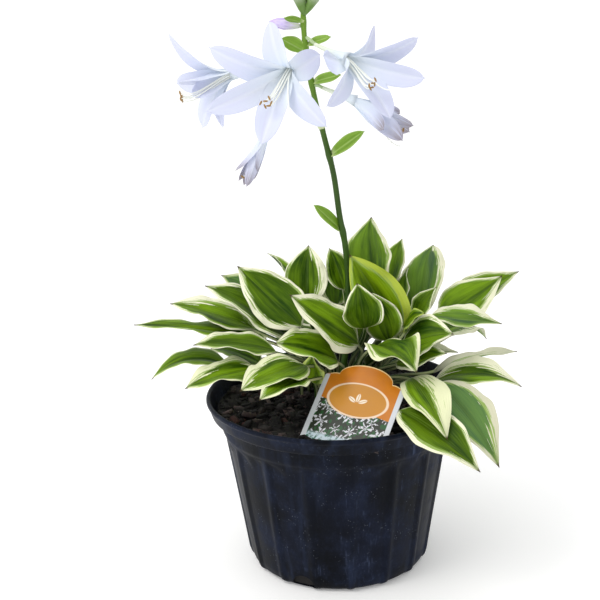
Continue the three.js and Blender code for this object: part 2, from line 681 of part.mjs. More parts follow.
const feet = crownFeet(LEAVES.map((one) => one.neck));
add("pot", pot(), MATERIALS.pot);
add("soil", soil(feet, cardSolid(SOIL_GAP)), MATERIALS.soil);
add("plant_card", cardSolid(0), MATERIALS.card);
const blades = new Map(LEAVES.map((one, i) => [one.name, leaf(one, feet[i])]));
for (const [name, members] of JOINED) {
  blades.set(name, outerSkin(members.map((member) => blades.get(member)).reduce((sum, one) => sum.add(one))));
  for (const member of members) blades.delete(member);
}
for (const [name, solid] of blades) add(name, solid, MATERIALS.leaf);
add("flower_scape", scape(feet.at(-1)), MATERIALS.scape);
for (const one of BLOOMS) add(one.name, bloom(one), MATERIALS.bloom);
add("bud_left", spindle(vec(...BUD_LEFT.base), vec(...BUD_LEFT.tip), BUD_LEFT.radius), MATERIALS.bud);

export default hosta;
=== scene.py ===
"""A hosta in bloom in a black nursery pot. Lengths are in millimetres until a mesh is made."""

import bpy
import numpy as np
from mathutils import Matrix


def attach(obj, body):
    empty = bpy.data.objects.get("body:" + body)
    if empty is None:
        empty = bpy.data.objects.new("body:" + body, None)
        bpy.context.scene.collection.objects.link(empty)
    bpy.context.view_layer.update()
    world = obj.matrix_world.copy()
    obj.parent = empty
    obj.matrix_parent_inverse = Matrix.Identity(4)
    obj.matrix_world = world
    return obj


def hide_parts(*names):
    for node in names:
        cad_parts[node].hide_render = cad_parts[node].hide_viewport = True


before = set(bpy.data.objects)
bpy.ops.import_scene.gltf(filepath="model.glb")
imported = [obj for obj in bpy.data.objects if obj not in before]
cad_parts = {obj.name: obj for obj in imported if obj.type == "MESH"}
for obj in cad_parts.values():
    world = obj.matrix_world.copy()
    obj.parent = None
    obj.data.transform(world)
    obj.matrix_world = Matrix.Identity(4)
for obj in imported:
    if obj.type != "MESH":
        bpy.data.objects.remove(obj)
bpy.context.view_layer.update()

# Camera, floor and light
# The view is a standing person's, looking down at the pot from 0.9 m in front of it. The
# floor is plain and nearly white under a soft white sky, with one wide lamp from the left.
MM = 0.001
EYE = np.array([3.0, -900.0, 491.0])
PITCH, YAW, ROLL = np.radians([16.7, -1.9, -1.7])
FOCAL_PIXELS = 1178
FRAME_PIXELS = 600
SENSOR = 36
UP = np.array([0.0, 0.0, 1.0])
PLANT_MIDDLE = np.array([0, 0, 0.22])


def unit(v):
    """Each vector along the last axis, scaled to length 1."""
    v = np.asarray(v, float)
    return v / np.maximum(np.linalg.norm(v, axis=-1, keepdims=True), 1e-12)


forward = np.array([np.sin(YAW) * np.cos(PITCH), np.cos(YAW) * np.cos(PITCH), -np.sin(PITCH)])
level_right = unit(np.cross(forward, UP))
level_up = np.cross(level_right, forward)
right = level_right * np.cos(ROLL) + level_up * np.sin(ROLL)
upward = np.cross(right, forward)
camera_data = bpy.data.cameras.new("camera")
camera_data.sensor_width = SENSOR
camera_data.lens = FOCAL_PIXELS / FRAME_PIXELS * SENSOR
camera = bpy.data.objects.new("camera", camera_data)
turned = np.eye(4)
turned[:3, :3] = np.column_stack([right, upward, -forward])
turned[:3, 3] = EYE * MM
camera.matrix_world = Matrix(turned.tolist())
bpy.context.collection.objects.link(camera)
bpy.context.scene.camera = camera
bpy.context.scene.view_settings.view_transform = "Standard"

world = bpy.data.worlds.new("sky")
world.use_nodes = True
world.node_tree.nodes["Background"].inputs["Color"].default_value = (1.0, 1.0, 1.0, 1)
bpy.context.scene.world = world


def area_lamp(name, place, size, power, colour):
    """A square soft lamp at a place in metres, turned to the middle of the plant."""
    data = bpy.data.lights.new(name, "AREA")
    data.size = size
    data.energy = power
    data.color = colour
    lamp = bpy.data.objects.new(name, data)
    back = unit(np.array(place) - PLANT_MIDDLE)
    side = unit(np.cross(UP, back))
    axes = np.eye(4)
    axes[:3, :3] = np.column_stack([side, np.cross(back, side), back])
    axes[:3, 3] = place
    lamp.matrix_world = Matrix(axes.tolist())
    bpy.context.collection.objects.link(lamp)


area_lamp("key_lamp", (-0.9, -0.7, 1.5), 0.7, 9, (1.0, 0.98, 0.94))


def mesh_object(name, points, quads, material, marks=None):
    """An object at the origin from points in mm and quads. marks are values kept at each
    point for the material: name to an array of (points, 3)."""
    mesh = bpy.data.meshes.new(name)
    mesh.vertices.add(len(points))
    mesh.vertices.foreach_set("co", (points * MM).astype(np.float32).ravel())
    mesh.loops.add(quads.size)
    mesh.loops.foreach_set("vertex_index", quads.astype(np.int32).ravel())
    mesh.polygons.add(len(quads))
    mesh.polygons.foreach_set("loop_start", np.arange(0, quads.size, 4, dtype=np.int32))
    for mark, values in (marks or {}).items():
        layer = mesh.attributes.new(mark, "FLOAT_VECTOR", "POINT")
        layer.data.foreach_set("vector", np.asarray(values, np.float32).ravel())
    mesh.update(calc_edges=True)
    mesh.validate()
    mesh.shade_smooth()
    mesh.materials.append(material)
    made = bpy.data.objects.new(name, mesh)
    bpy.context.collection.objects.link(made)
    return made


def node(tree, kind, inputs=None, **settings):
    """One shader node. settings are its own fields; inputs are values or links by socket."""
    made = tree.nodes.new(kind)
    for key, value in settings.items():
        setattr(made, key, value)
    for key, value in (inputs or {}).items():
        if isinstance(value, bpy.types.NodeSocket):
            tree.links.new(value, made.inputs[key])
        else:
            made.inputs[key].default_value = value
    return made


def calc(tree, operation, a, b=0.0, c=0.0):
    """The result of a Math node."""
    return node(tree, "ShaderNodeMath", {0: a, 1: b, 2: c}, operation=operation).outputs[0]


def blend(tree, factor, a, b):
    """Two colours mixed by a factor, which is held between 0 and 1."""
    return node(tree, "ShaderNodeMix", {0: factor, 6: a, 7: b}, data_type="RGBA").outputs[2]


def step(tree, value, low, high):
    """0 below low, 1 above high, and smooth between them."""
    inputs = {"Value": value, "From Min": low, "From Max": high}
    return node(tree, "ShaderNodeMapRange", inputs, interpolation_type="SMOOTHSTEP").outputs[0]


def noise(tree, vector, scale, detail=3.0, roughness=0.5):
    """A noise of 0 to 1 at a place."""
    inputs = {"Vector": vector, "Scale": scale, "Detail": detail, "Roughness": roughness}
    return node(tree, "ShaderNodeTexNoise", inputs).outputs["Fac"]


def object_place(tree):
    """A place on the object itself, in metres."""
    return node(tree, "ShaderNodeTexCoord").outputs["Object"]


def srgb(red, green, sheen_and_darkness):
    """A colour given as 0 to 255 on a screen, as the linear colour that shaders take."""
    share = np.array([red, green, sheen_and_darkness]) / 255
    linear = np.where(share <= 0.04045, share / 12.92, ((share + 0.055) / 1.055) ** 2.4)
    return (*linear.tolist(), 1.0)


def new_material(name, roughness=0.5):
    """A material with only its Principled shader and output: its tree and that shader."""
    material = bpy.data.materials.new(name)
    material.use_nodes = True
    tree = material.node_tree
    tree.nodes["Principled BSDF"].inputs["Roughness"].default_value = roughness
    return material, tree, tree.nodes["Principled BSDF"]


# The sky is a soft white tent that is brightest up on the left, behind the plant. A low band
# of it is white all round, so that the floor runs into it with no line.
SKY_LOW = 0.3
SKY_HIGH = 1.12
BRIGHT_WAY = unit([-0.6, 0.3, 0.75])
BAND_TOP = 0.32
BAND_WHITE = 0.12
tree = world.node_tree
sky_way = node(tree, "ShaderNodeTexCoord").outputs["Generated"]
bright_side = {0: sky_way, 1: BRIGHT_WAY.tolist()}
bright_side = node(tree, "ShaderNodeVectorMath", bright_side, operation="DOT_PRODUCT").outputs["Value"]
brightness = node(
    tree,
    "ShaderNodeMapRange",
    {"Value": bright_side, "From Min": -0.7, "From Max": 0.6, "To Min": SKY_LOW, "To Max": SKY_HIGH},
).outputs[0]
sky_height = node(tree, "ShaderNodeSeparateXYZ", {0: sky_way}).outputs[2]
low_down = step(tree, calc(tree, "ABSOLUTE", sky_height), BAND_TOP, BAND_WHITE)
brightness = calc(tree, "MAXIMUM", brightness, low_down)
tree.links.new(brightness, tree.nodes["Background"].inputs["Strength"])

# A floor: one wide pale sheet with a matt finish.
FLOOR_HALF = 40000
FLOOR_DROP = 0.3
FLOOR_GLOW = 0.16
corners = np.array([[-1, -1], [1, -1], [1, 1], [-1, 1]]) * FLOOR_HALF
floor_points = np.column_stack([corners, np.full(4, -FLOOR_DROP)])
floor_finish, tree, shader = new_material("floor_finish", 0.9)
grain = noise(tree, object_place(tree), 6.0)
tree.links.new(blend(tree, grain, srgb(250, 250, 250), srgb(253, 253, 253)), shader.inputs["Base Color"])
shader.inputs["Emission Color"].default_value = (1.0, 1.0, 1.0, 1)
shader.inputs["Emission Strength"].default_value = FLOOR_GLOW
floor = mesh_object("floor", floor_points, np.array([[0, 1, 2, 3]]), floor_finish)

# Pot
# A thin nursery pot blow-moulded from black plastic: sixteen shallow panels between narrow
# ribs, a plain collar, a rim band with a rolled lip, and three arched drain holes at its foot.
POT_HEIGHT = 144
RIM_RADIUS = 105
FOOT_RADIUS = 69
BASE_RADIUS = 75.5
COLLAR_RADIUS = 93
COLLAR_LOW = 117
BAND_LOW = 129
FLUTES = 16
FLUTE_DEPTH = 1.6
POT_WALL = 2.4
POT_INNER = POT_WALL + FLUTE_DEPTH
POT_FLOOR = 3
POT_COLUMNS = 15 * FLUTES
CORNER_CUT = 1.6
ROW_LENGTH = 3
# Bearings, in degrees: the first rib's, and how far a rib's flat top and its flank reach.
FIRST_RIB = 7.5
RIB_TOP = 0.7
RIB_FLANK = 3.4
DRAINS = 3
DRAIN_FIRST_BEARING = -113
DRAIN_WIDTH = 20
DRAIN_HEIGHT = 11
DRAIN_LOW = 2


def grid_quads(rows, columns, wrap):
    """Quads between neighbouring points of a grid that is counted row by row. wrap joins
    the last column to the first."""
    r = np.arange(rows - 1)[:, None] * columns
    c = np.arange(columns if wrap else columns - 1)[None, :]
    d = (c + 1) % columns
    return np.stack([r + c, r + d, r + d + columns, r + c + columns], -1).reshape(-1, 4)


def fit_piece(piece, slot, *nodes):
    """The piece rides on the plant and stands for nodes. slot is not used."""
    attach(piece, "root")
    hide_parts(*nodes)


def times(tree, a, b):
    """Two values multiplied."""
    return calc(tree, "MULTIPLY", a, b)


def stretched(tree, vector, scale):
    """A place scaled by three numbers, so that a pattern on it runs longer one way."""
    inputs = {0: vector, 1: scale}
    return node(tree, "ShaderNodeVectorMath", inputs, operation="MULTIPLY").outputs[0]


def bump(tree, shader, height, distance, strength=1.0):
    """A height in millimetres of distance, as the shader's normal."""
    inputs = {"Height": height, "Distance": distance * MM, "Strength": strength}
    tree.links.new(node(tree, "ShaderNodeBump", inputs).outputs[0], shader.inputs["Normal"])


def new_group(name, inputs, outputs):
    """A shader node group with named inputs, each a socket kind and a first value, and float
    outputs: the tree, the group's input sockets and its output node."""
    tree = bpy.data.node_groups.new(name, "ShaderNodeTree")
    for socket, (kind, value) in inputs.items():
        made = tree.interface.new_socket(socket, in_out="INPUT", socket_type=kind)
        if value is not None:
            made.default_value = value
    for socket in outputs:
        tree.interface.new_socket(socket, in_out="OUTPUT", socket_type="NodeSocketFloat")
    return tree, tree.nodes.new("NodeGroupInput").outputs, tree.nodes.new("NodeGroupOutput")


def use_group(tree, group, inputs):
    """The outputs of a group that is placed in a material with its own values."""
    return node(tree, "ShaderNodeGroup", inputs, node_tree=group).outputs


def point_values(tree, name):
    """The three values that a mesh keeps at each of its points under a name."""
    kept = node(tree, "ShaderNodeAttribute", attribute_name=name).outputs["Vector"]
    return node(tree, "ShaderNodeSeparateXYZ", {0: kept}).outputs


def rounded(profile, cut):
    """A profile's points with each inner corner replaced by a short curve, and the long
    stretches cut into rows of about one row length."""
    profile = np.array(profile, float)
    rows = [profile[0]]
    for before, corner, after in zip(profile, profile[1:], profile[2:]):
        ends = []
        for other in (before, after):
            length = np.linalg.norm((other - corner)[:2])
            ends.append(corner + (other - corner) * min(cut, 0.45 * length) / length)
        for t in (0, 0.25, 0.5, 0.75, 1):
            rows.append((1 - t) ** 2 * ends[0] + 2 * t * (1 - t) * corner + t * t * ends[1])
    rows.append(profile[-1])
    cut_rows = [rows[0]]
    for before, after in zip(rows, rows[1:]):
        count = max(1, int(np.linalg.norm((after - before)[:2]) / ROW_LENGTH))
        cut_rows.extend(before + (after - before) * k / count for k in range(1, count + 1))
    return np.array(cut_rows)


def soft_step(x, low, high):
    """0 below low, 1 above high, with a smooth rise between them."""
    t = np.clip((x - low) / (high - low), 0, 1)
    return t * t * (3 - 2 * t)


def pot_surface():
    """The pot's skin: its profile turned about Z, each row with its share of fluting. The
    panels lie one flute depth inside the ribs, their tops are arched, and the whole wall is a
    little out of round. Marks: (pale rubbing with a painted highlight on it, height in mm,
    share of panel)."""
    profile = rounded([
        [0, 0, 0],
        [FOOT_RADIUS, 0, 1],
        [BASE_RADIUS - 1.8, 3.5, 1],
        [BASE_RADIUS, 9, 1],
        [COLLAR_RADIUS - 2, COLLAR_LOW - 3, 1],
        [COLLAR_RADIUS - 0.3, COLLAR_LOW, 0],
        [COLLAR_RADIUS + 1.5, BAND_LOW - 0.5, 0],
        [RIM_RADIUS - 4.5, BAND_LOW + 1.5, 0],
        [RIM_RADIUS - 1.4, POT_HEIGHT - 4, 0],
        [RIM_RADIUS, POT_HEIGHT - 2.6, 0],
        [RIM_RADIUS - 0.4, POT_HEIGHT, 0],
        [RIM_RADIUS - 3.2, POT_HEIGHT, 0],
        [RIM_RADIUS - 7, BAND_LOW + 3, 0],
        [COLLAR_RADIUS - POT_INNER + 2, BAND_LOW - 4, 0],
        [COLLAR_RADIUS - POT_INNER - 2, COLLAR_LOW - 3, 0],
        [BASE_RADIUS - POT_INNER, POT_FLOOR, 0],
        [0, POT_FLOOR, 0],
    ], CORNER_CUT)
    angle = 2 * np.pi * np.arange(POT_COLUMNS) / POT_COLUMNS
    pitch = 360 / FLUTES
    from_rib = (np.degrees(angle) - FIRST_RIB + pitch / 2) % pitch - pitch / 2
    radius, height, flute = (profile[:, [i]] for i in range(3))
    panel = soft_step(np.abs(from_rib), RIB_TOP, RIB_FLANK)
    arched_top = COLLAR_LOW - 5 - 7 * (np.abs(from_rib) / (pitch / 2)) ** 3
    panel = panel * soft_step(arched_top - height, -2, 2) * (flute > 0)
    out = radius - FLUTE_DEPTH * panel * np.minimum(1, flute * 4)
    waver = 0.5 * np.sin(2 * angle + 0.6) + 0.35 * np.sin(5 * angle + height * 0.03)
    out = out + waver * np.minimum(1, height / 60) * (radius > 20)
    lip = height > BAND_LOW + 2
    rise = height + lip * 0.5 * np.sin(3 * angle + 1.1) - lip * 0.3
    points = np.stack([out * np.cos(angle), out * np.sin(angle), rise + 0 * out], -1)
    # Pale rib tops and rim edges: rubbing, with a painted highlight along them.
    highlight_and_wear = np.maximum(1 - soft_step(np.abs(from_rib), 0.5, 2.4), 0) * (flute > 0.5)
    highlight_and_wear = highlight_and_wear + (np.abs(height - POT_HEIGHT) < 1.5) * (radius > RIM_RADIUS - 3)
    highlight_and_wear = highlight_and_wear + 0.6 * (np.abs(height - COLLAR_LOW) < 1.5) * (radius > 80)
    highlight_and_wear = np.clip(highlight_and_wear + 0.8 * (np.abs(height - BAND_LOW - 1) < 1.2) * (radius > 92), 0, 1)
    marks = np.stack([highlight_and_wear + 0 * out, height + 0 * out, panel + 0 * out], -1)
    return points[:, ::-1], marks[:, ::-1]


# Dust: fine pale specks in patches, and a thin uneven film.
dust, given, dust_out = new_group(
    "dust",
    {"Place": ("NodeSocketVector", None), "Size": ("NodeSocketFloat", 1.0)},
    ["Specks", "Film"],
)
cells = {"Vector": given["Place"], "Scale": given["Size"], "Randomness": 1.0}
cells = node(dust, "ShaderNodeTexVoronoi", cells)
speck_here = step(dust, noise(dust, given["Place"], 60.0, 2.0), 0.52, 0.64)
specks = times(dust, step(dust, cells.outputs["Distance"], 0.2, 0.08), speck_here)
film = step(dust, noise(dust, given["Place"], 35.0, 6.0, 0.65), 0.42, 0.75)
dust.links.new(specks, dust_out.inputs["Specks"])
dust.links.new(film, dust_out.inputs["Film"])

# The plastic: nearly black and blue in patches, with scratches and pale streaks drawn down
# it, grain in its film of dust, fine pale lines of painted highlight on the collar and rim,
# pale ribs and rim edges that are rubbed and lit by a painted highlight, and painted shade in
# the grooves beside the ribs.
pot_finish, tree, shader = new_material("pot_plastic", 0.55)
place = object_place(tree)
highlight_and_wear, height, panel = point_values(tree, "highlight_wear_marks")
dusty = use_group(tree, dust, {"Place": place, "Size": 420.0})
film = dusty["Film"]
shader.inputs["Specular IOR Level"].default_value = 0.08
colour = blend(tree, step(tree, noise(tree, place, 18.0, 4.0), 0.3, 0.72), srgb(2, 4, 9), srgb(11, 17, 33))
scratch = noise(tree, stretched(tree, place, (1.0, 1.0, 0.06)), 330.0, 2.0)
scratch = times(tree, step(tree, scratch, 0.6, 0.78), film)
colour = blend(tree, times(tree, scratch, 0.7), colour, srgb(78, 90, 118))
colour = blend(tree, times(tree, film, 0.42), colour, srgb(38, 47, 70))
grain = step(tree, noise(tree, stretched(tree, place, (1.0, 1.0, 0.7)), 480.0, 3.0, 0.6), 0.5, 0.72)
grain = times(tree, grain, calc(tree, "MULTIPLY_ADD", film, 0.8, 0.1))
colour = blend(tree, times(tree, grain, 0.35), colour, srgb(60, 68, 88))
drawn_down = step(tree, noise(tree, stretched(tree, place, (1.0, 1.0, 0.08)), 100.0, 3.0), 0.5, 0.75)
colour = blend(tree, times(tree, drawn_down, 0.3), colour, srgb(44, 54, 78))
# Fine pale lines round the collar and rim band: a painted highlight.
highlight_lines = step(tree, noise(tree, stretched(tree, place, (0.16, 0.16, 1.6)), 260.0, 4.0), 0.5, 0.62)
highlight_lines = times(tree, highlight_lines, step(tree, height, COLLAR_LOW, COLLAR_LOW + 3))
colour = blend(tree, times(tree, highlight_lines, 0.55), colour, srgb(70, 82, 112))
streaky = step(tree, noise(tree, stretched(tree, place, (1.0, 1.0, 0.12)), 160.0, 3.0), 0.35, 0.7)
# The pale ribs and rim edges: streaky rubbing with a painted highlight on it.
rubbed_highlight = times(tree, highlight_and_wear, calc(tree, "MULTIPLY_ADD", streaky, 0.75, 0.15))
colour = blend(tree, rubbed_highlight, colour, srgb(66, 78, 108))
# Painted shade in the grooves beside the ribs.
flank_shade = times(tree, panel, calc(tree, "SUBTRACT", 1.0, panel))
colour = blend(tree, times(tree, flank_shade, 2.6), colour, srgb(1, 2, 5))
colour = blend(tree, times(tree, dusty["Specks"], 0.4), colour, srgb(120, 126, 136))
tree.links.new(colour, shader.inputs["Base Color"])
tree.links.new(calc(tree, "MULTIPLY_ADD", film, 0.25, 0.42), shader.inputs["Roughness"])
fine = noise(tree, stretched(tree, place, (1.0, 1.0, 0.3)), 260.0, 5.0, 0.6)
bump(tree, shader, fine, 0.25, 0.6)

grid, highlight_wear_marks = pot_surface()
quads = grid_quads(*grid.shape[:2], True)
pot = mesh_object("nursery_pot", grid.reshape(-1, 3), quads, pot_finish, {"highlight_wear_marks": highlight_wear_marks.reshape(-1, 3)})


def drain_cutter(bearing):
    """Two equal arched outlines, one inside the wall and one outside it: the ends of a bar
    that cuts one drain hole."""
    turn = np.linspace(0, np.pi, 17)
    arch = np.column_stack([DRAIN_WIDTH / 2 * np.cos(turn), DRAIN_HEIGHT * np.sin(turn)])
    rings = []
    for reach in (FOOT_RADIUS - 6, FOOT_RADIUS + 24):
        x, z = arch[:, 0], arch[:, 1] + DRAIN_LOW
        along = np.array([np.cos(bearing), np.sin(bearing)])
        side = np.array([-along[1], along[0]])
        rings.append(np.column_stack([reach * along + x[:, None] * side, z]))
    return np.array(rings)


def cut_away(piece, cutter_mesh):
    """The piece's mesh with the cutter's shape taken out of it."""
    cutter = bpy.data.objects.new("cutter", cutter_mesh)
    bpy.context.collection.objects.link(cutter)
    modifier = piece.modifiers.new("cut", "BOOLEAN")
    modifier.object = cutter
    modifier.solver = "EXACT"
    bpy.context.view_layer.update()
    solved = bpy.data.meshes.new_from_object(piece.evaluated_get(bpy.context.evaluated_depsgraph_get()))
    piece.modifiers.clear()
    piece.data = solved
    bpy.data.objects.remove(cutter)


def closed_bar(rings):
    """A bar between two equal outlines, closed at each end by one many-sided face."""
    count = rings.shape[1]
    mesh = bpy.data.meshes.new("bar")
    faces = [list(range(count))[::-1], list(range(count, 2 * count))]
    faces += grid_quads(2, count, True).tolist()
    mesh.from_pydata((rings.reshape(-1, 3) * MM).tolist(), [], faces)
    return mesh


for k in range(DRAINS):
    bearing = np.radians(DRAIN_FIRST_BEARING + 360 / DRAINS * k)
    cut_away(pot, closed_bar(drain_cutter(bearing)))
pot.data.set_sharp_from_angle(angle=np.radians(50))
fit_piece(pot, "pot_plastic", "pot")

# Soil
# Dark potting mix of peat and fine bark that fills the pot to just under its rim, with a low
# mound at the crown. Loose chips of bark and a few pale grains lie on it.
SOIL_LEVEL = 132.5
SOIL_MOUND = 5
SOIL_GAP = 0.4
SOIL_COLUMNS = 200
CROWN = np.array([9.0, 10.0])
CHIPS = 1100
CHIP_LENGTH = 12
GRAINS = 46
GRAIN_LENGTH = 2.6
SCATTER_RADIUS = 94
LATTICE_SIDE = 64
LATTICE = np.random.default_rng(7).random((LATTICE_SIDE, LATTICE_SIDE))


def joined(skins):
    """Several skins as one list of points and one list of quads."""
    starts = np.cumsum([0] + [len(points) for points, _ in skins[:-1]])
    points = np.concatenate([points for points, _ in skins])
    return points, np.concatenate([quads + s for (_, quads), s in zip(skins, starts)])


def patches(x, y, size):
    """Smooth random patches of about a size in mm, from -1 to 1: values on a lattice,
    joined by smooth curves."""
    column, row = x / size + 20, y / size + 20
    c, r = np.floor(column).astype(int), np.floor(row).astype(int)
    u, v = soft_step(column - c, 0, 1), soft_step(row - r, 0, 1)
    corner = [LATTICE[(r + j) % LATTICE_SIDE, (c + i) % LATTICE_SIDE] for j in (0, 1) for i in (0, 1)]
    low = corner[0] * (1 - u) + corner[1] * u
    high = corner[2] * (1 - u) + corner[3] * u
    return 2 * (low * (1 - v) + high * v) - 1


def soil_height(x, y):
    """The soil's top: a low mound under the crown, broad lumps, and crumbs in three sizes."""
    mound = SOIL_MOUND * np.exp(-((x - CROWN[0]) ** 2 + (y - CROWN[1]) ** 2) / 2400)
    lumps = np.sin(x * 0.21 + 1.3) * np.cos(y * 0.17) + 0.7 * np.sin(x * 0.37 - y * 0.29)
    lumps = lumps + 0.5 * np.cos(x * 0.11 + y * 0.43)
    crumbs = 1.5 * patches(x, y, 9) + 1.3 * patches(x + 40, y, 4.2) + 0.9 * patches(x, y + 70, 2.0)
    return SOIL_LEVEL + mound + 0.8 * lumps + crumbs


def soil_surface():
    """The soil's skin: rings over the top, the side that follows the pot, and the bottom."""
    collar = COLLAR_RADIUS - POT_INNER + 2 - SOIL_GAP
    base = BASE_RADIUS - POT_INNER - SOIL_GAP
    reach = (RIM_RADIUS - 9) * np.linspace(0, 1, 60) ** 0.8
    side = [[RIM_RADIUS - 8, BAND_LOW + 2], [collar, BAND_LOW - 4], [collar - 5, COLLAR_LOW - 3]]
    side.append([base - 1, POT_FLOOR + SOIL_GAP])
    side.append([0, POT_FLOOR + SOIL_GAP])
    angle = 2 * np.pi * np.arange(SOIL_COLUMNS) / SOIL_COLUMNS
    x, y = reach[:, None] * np.cos(angle), reach[:, None] * np.sin(angle)
    top = np.stack([x, y, soil_height(x, y)], -1)
    side = np.array(side, float)
    around = np.stack([np.cos(angle), np.sin(angle)], -1)
    wall = np.concatenate([side[:, None, :1] * around, np.repeat(side[:, None, 1:], SOIL_COLUMNS, 1)], -1)
    return np.concatenate([top, wall])[:, ::-1]


# A block's corners and its sides.
BOX = np.array([[i, j, k] for i in (-1, 1) for j in (-1, 1) for k in (-1, 1)]) / 2
BOX_QUADS = np.array([[0, 1, 3, 2], [4, 6, 7, 5], [0, 4, 5, 1], [2, 3, 7, 6], [0, 2, 6, 4], [1, 5, 7, 3]])


def scattered(count, longest, shares, seed):
    """Uneven little blocks that lie on the soil at random turns and tilts: their points and
    quads, and a random tone for each."""
    draw = np.random.default_rng(seed)
    angle, reach = draw.uniform(0, 2 * np.pi, count), SCATTER_RADIUS * np.sqrt(draw.random(count))
    x, y = reach * np.cos(angle), reach * np.sin(angle)
    length = longest * (0.3 + 0.7 * draw.random(count) ** 2)
    size = length[:, None] * np.array([1, *shares]) * draw.uniform(0.6, 1.2, (count, 3))
    block = (BOX + draw.uniform(-0.14, 0.14, (count, 8, 3))) * size[:, None]
    turn, tilt = draw.uniform(0, 2 * np.pi, count), draw.normal(0, 0.3, count)
    lifted = block[..., 2] * np.cos(tilt)[:, None] + block[..., 0] * np.sin(tilt)[:, None]
    flat = block[..., 0] * np.cos(tilt)[:, None] - block[..., 2] * np.sin(tilt)[:, None]
    px = x[:, None] + flat * np.cos(turn)[:, None] - block[..., 1] * np.sin(turn)[:, None]
    py = y[:, None] + flat * np.sin(turn)[:, None] + block[..., 1] * np.cos(turn)[:, None]
    points = np.stack([px, py, soil_height(x, y)[:, None] + 0.3 + lifted], -1)
    quads = BOX_QUADS + 8 * np.arange(count)[:, None, None]
    return points.reshape(-1, 3), quads.reshape(-1, 4), np.repeat(draw.random(count), 8)


grid = soil_surface()
chip_points, chip_quads, chip_tone = scattered(CHIPS, CHIP_LENGTH, (0.5, 0.34), 11)
grain_points, grain_quads, grain_tone = scattered(GRAINS, GRAIN_LENGTH, (0.8, 0.7), 12)
soil_points, soil_quads = joined([
    (grid.reshape(-1, 3), grid_quads(*grid.shape[:2], True)),
    (chip_points, chip_quads),
    (grain_points, grain_quads),
])
# Marks: (tone, 1 on what lies loose, 1 on a grain).
loose = len(chip_points) + len(grain_points)
tones = np.zeros((len(soil_points), 3))
tones[-loose:, 0] = np.concatenate([chip_tone, grain_tone])
tones[-loose:, 1] = 1
tones[-len(grain_points):, 2] = 1

soil_finish, tree, shader = new_material("potting_mix", 0.92)
place = object_place(tree)
tone, on_loose, on_grain = point_values(tree, "chip")
peat = blend(tree, noise(tree, place, 190.0, 5.0, 0.7), srgb(1, 1, 1), srgb(20, 15, 15))
bark = blend(tree, calc(tree, "POWER", tone, 4.0), srgb(2, 1, 2), srgb(138, 116, 114))
bark = blend(tree, step(tree, tone, 0.96, 0.965), bark, srgb(96, 60, 56))
bark = blend(tree, noise(tree, stretched(tree, place, (1, 0.3, 1)), 900.0), bark, srgb(12, 9, 9))
colour = blend(tree, on_loose, peat, bark)
colour = blend(tree, on_grain, colour, srgb(150, 142, 134))
tree.links.new(colour, shader.inputs["Base Color"])
bump(tree, shader, noise(tree, place, 700.0, 6.0, 0.7), 0.9)
soil = mesh_object("potting_soil", soil_points, soil_quads, soil_finish, {"chip": tones})
fit_piece(soil, "potting_mix", "soil")

# Plant card
# A sheet of printed plastic with a round top and white edges, pushed into the soil on a
# narrow stake of its own that bends down behind the rim.
CARD_WIDTH = 66
CARD_LEFT_EDGE = 62
CARD_RIGHT_EDGE = 44
CARD_THICKNESS = 0.8
CARD_TOP_LEFT = np.array([-7, -35.7, 171.5])
CARD_RIGHT = unit([0.913, -0.398, -0.093])
CARD_LEAN = np.array([0.362, 0.682, 0.636])
ARCH_HALF = 0.33 * CARD_WIDTH
ARCH_RISE = 11
SHOULDER = 2.5
CARD_BOW = 0.8
ON_BACK = -2.0
# The stake starts this far right of the sheet's top left corner and above it. Its stretches:
# length, turn from the sheet's slope at 0 to straight down at 1, half width.
STAKE_TOP = (24, -46)
STAKE = [(0, 0, 13), (6, 0, 12), (5, 0.5, 10), (5, 0.8, 9), (8, 1, 8), (16, 1, 4)]
card_up = unit(CARD_LEAN - CARD_RIGHT * (CARD_LEAN @ CARD_RIGHT))
card_face = np.cross(CARD_RIGHT, card_up)


def skin(rings):
    """A closed skin over rings of points, an array of (rings, points, 3). Both end rings
    are closed by strips across them, and the faces are turned to look outwards."""
    rows, columns, _ = rings.shape
    half = columns // 2
    k = np.arange(half - 1)
    cap = np.stack([k, columns - 1 - k, columns - 2 - k, k + 1], -1)
    far = cap[:, ::-1] + (rows - 1) * columns
    quads = np.concatenate([grid_quads(rows, columns, True), cap, far])
    points = rings.reshape(-1, 3)
    a, b, c, d = (points[quads[:, i]] for i in range(4))
    volume = np.einsum("ij,ij->i", a, np.cross(b, c) + np.cross(c, d)).sum()
    return points, quads if volume > 0 else quads[:, ::-1]


def strip_ring(centre, side, normal, half, thick, count):
    """Points round a flat bar's section: across its upper face and back under it."""
    u = np.linspace(-1, 1, count)[:, None]
    across = centre + u * half * side
    return np.concatenate([across + normal * thick / 2, (across - normal * thick / 2)[::-1]])


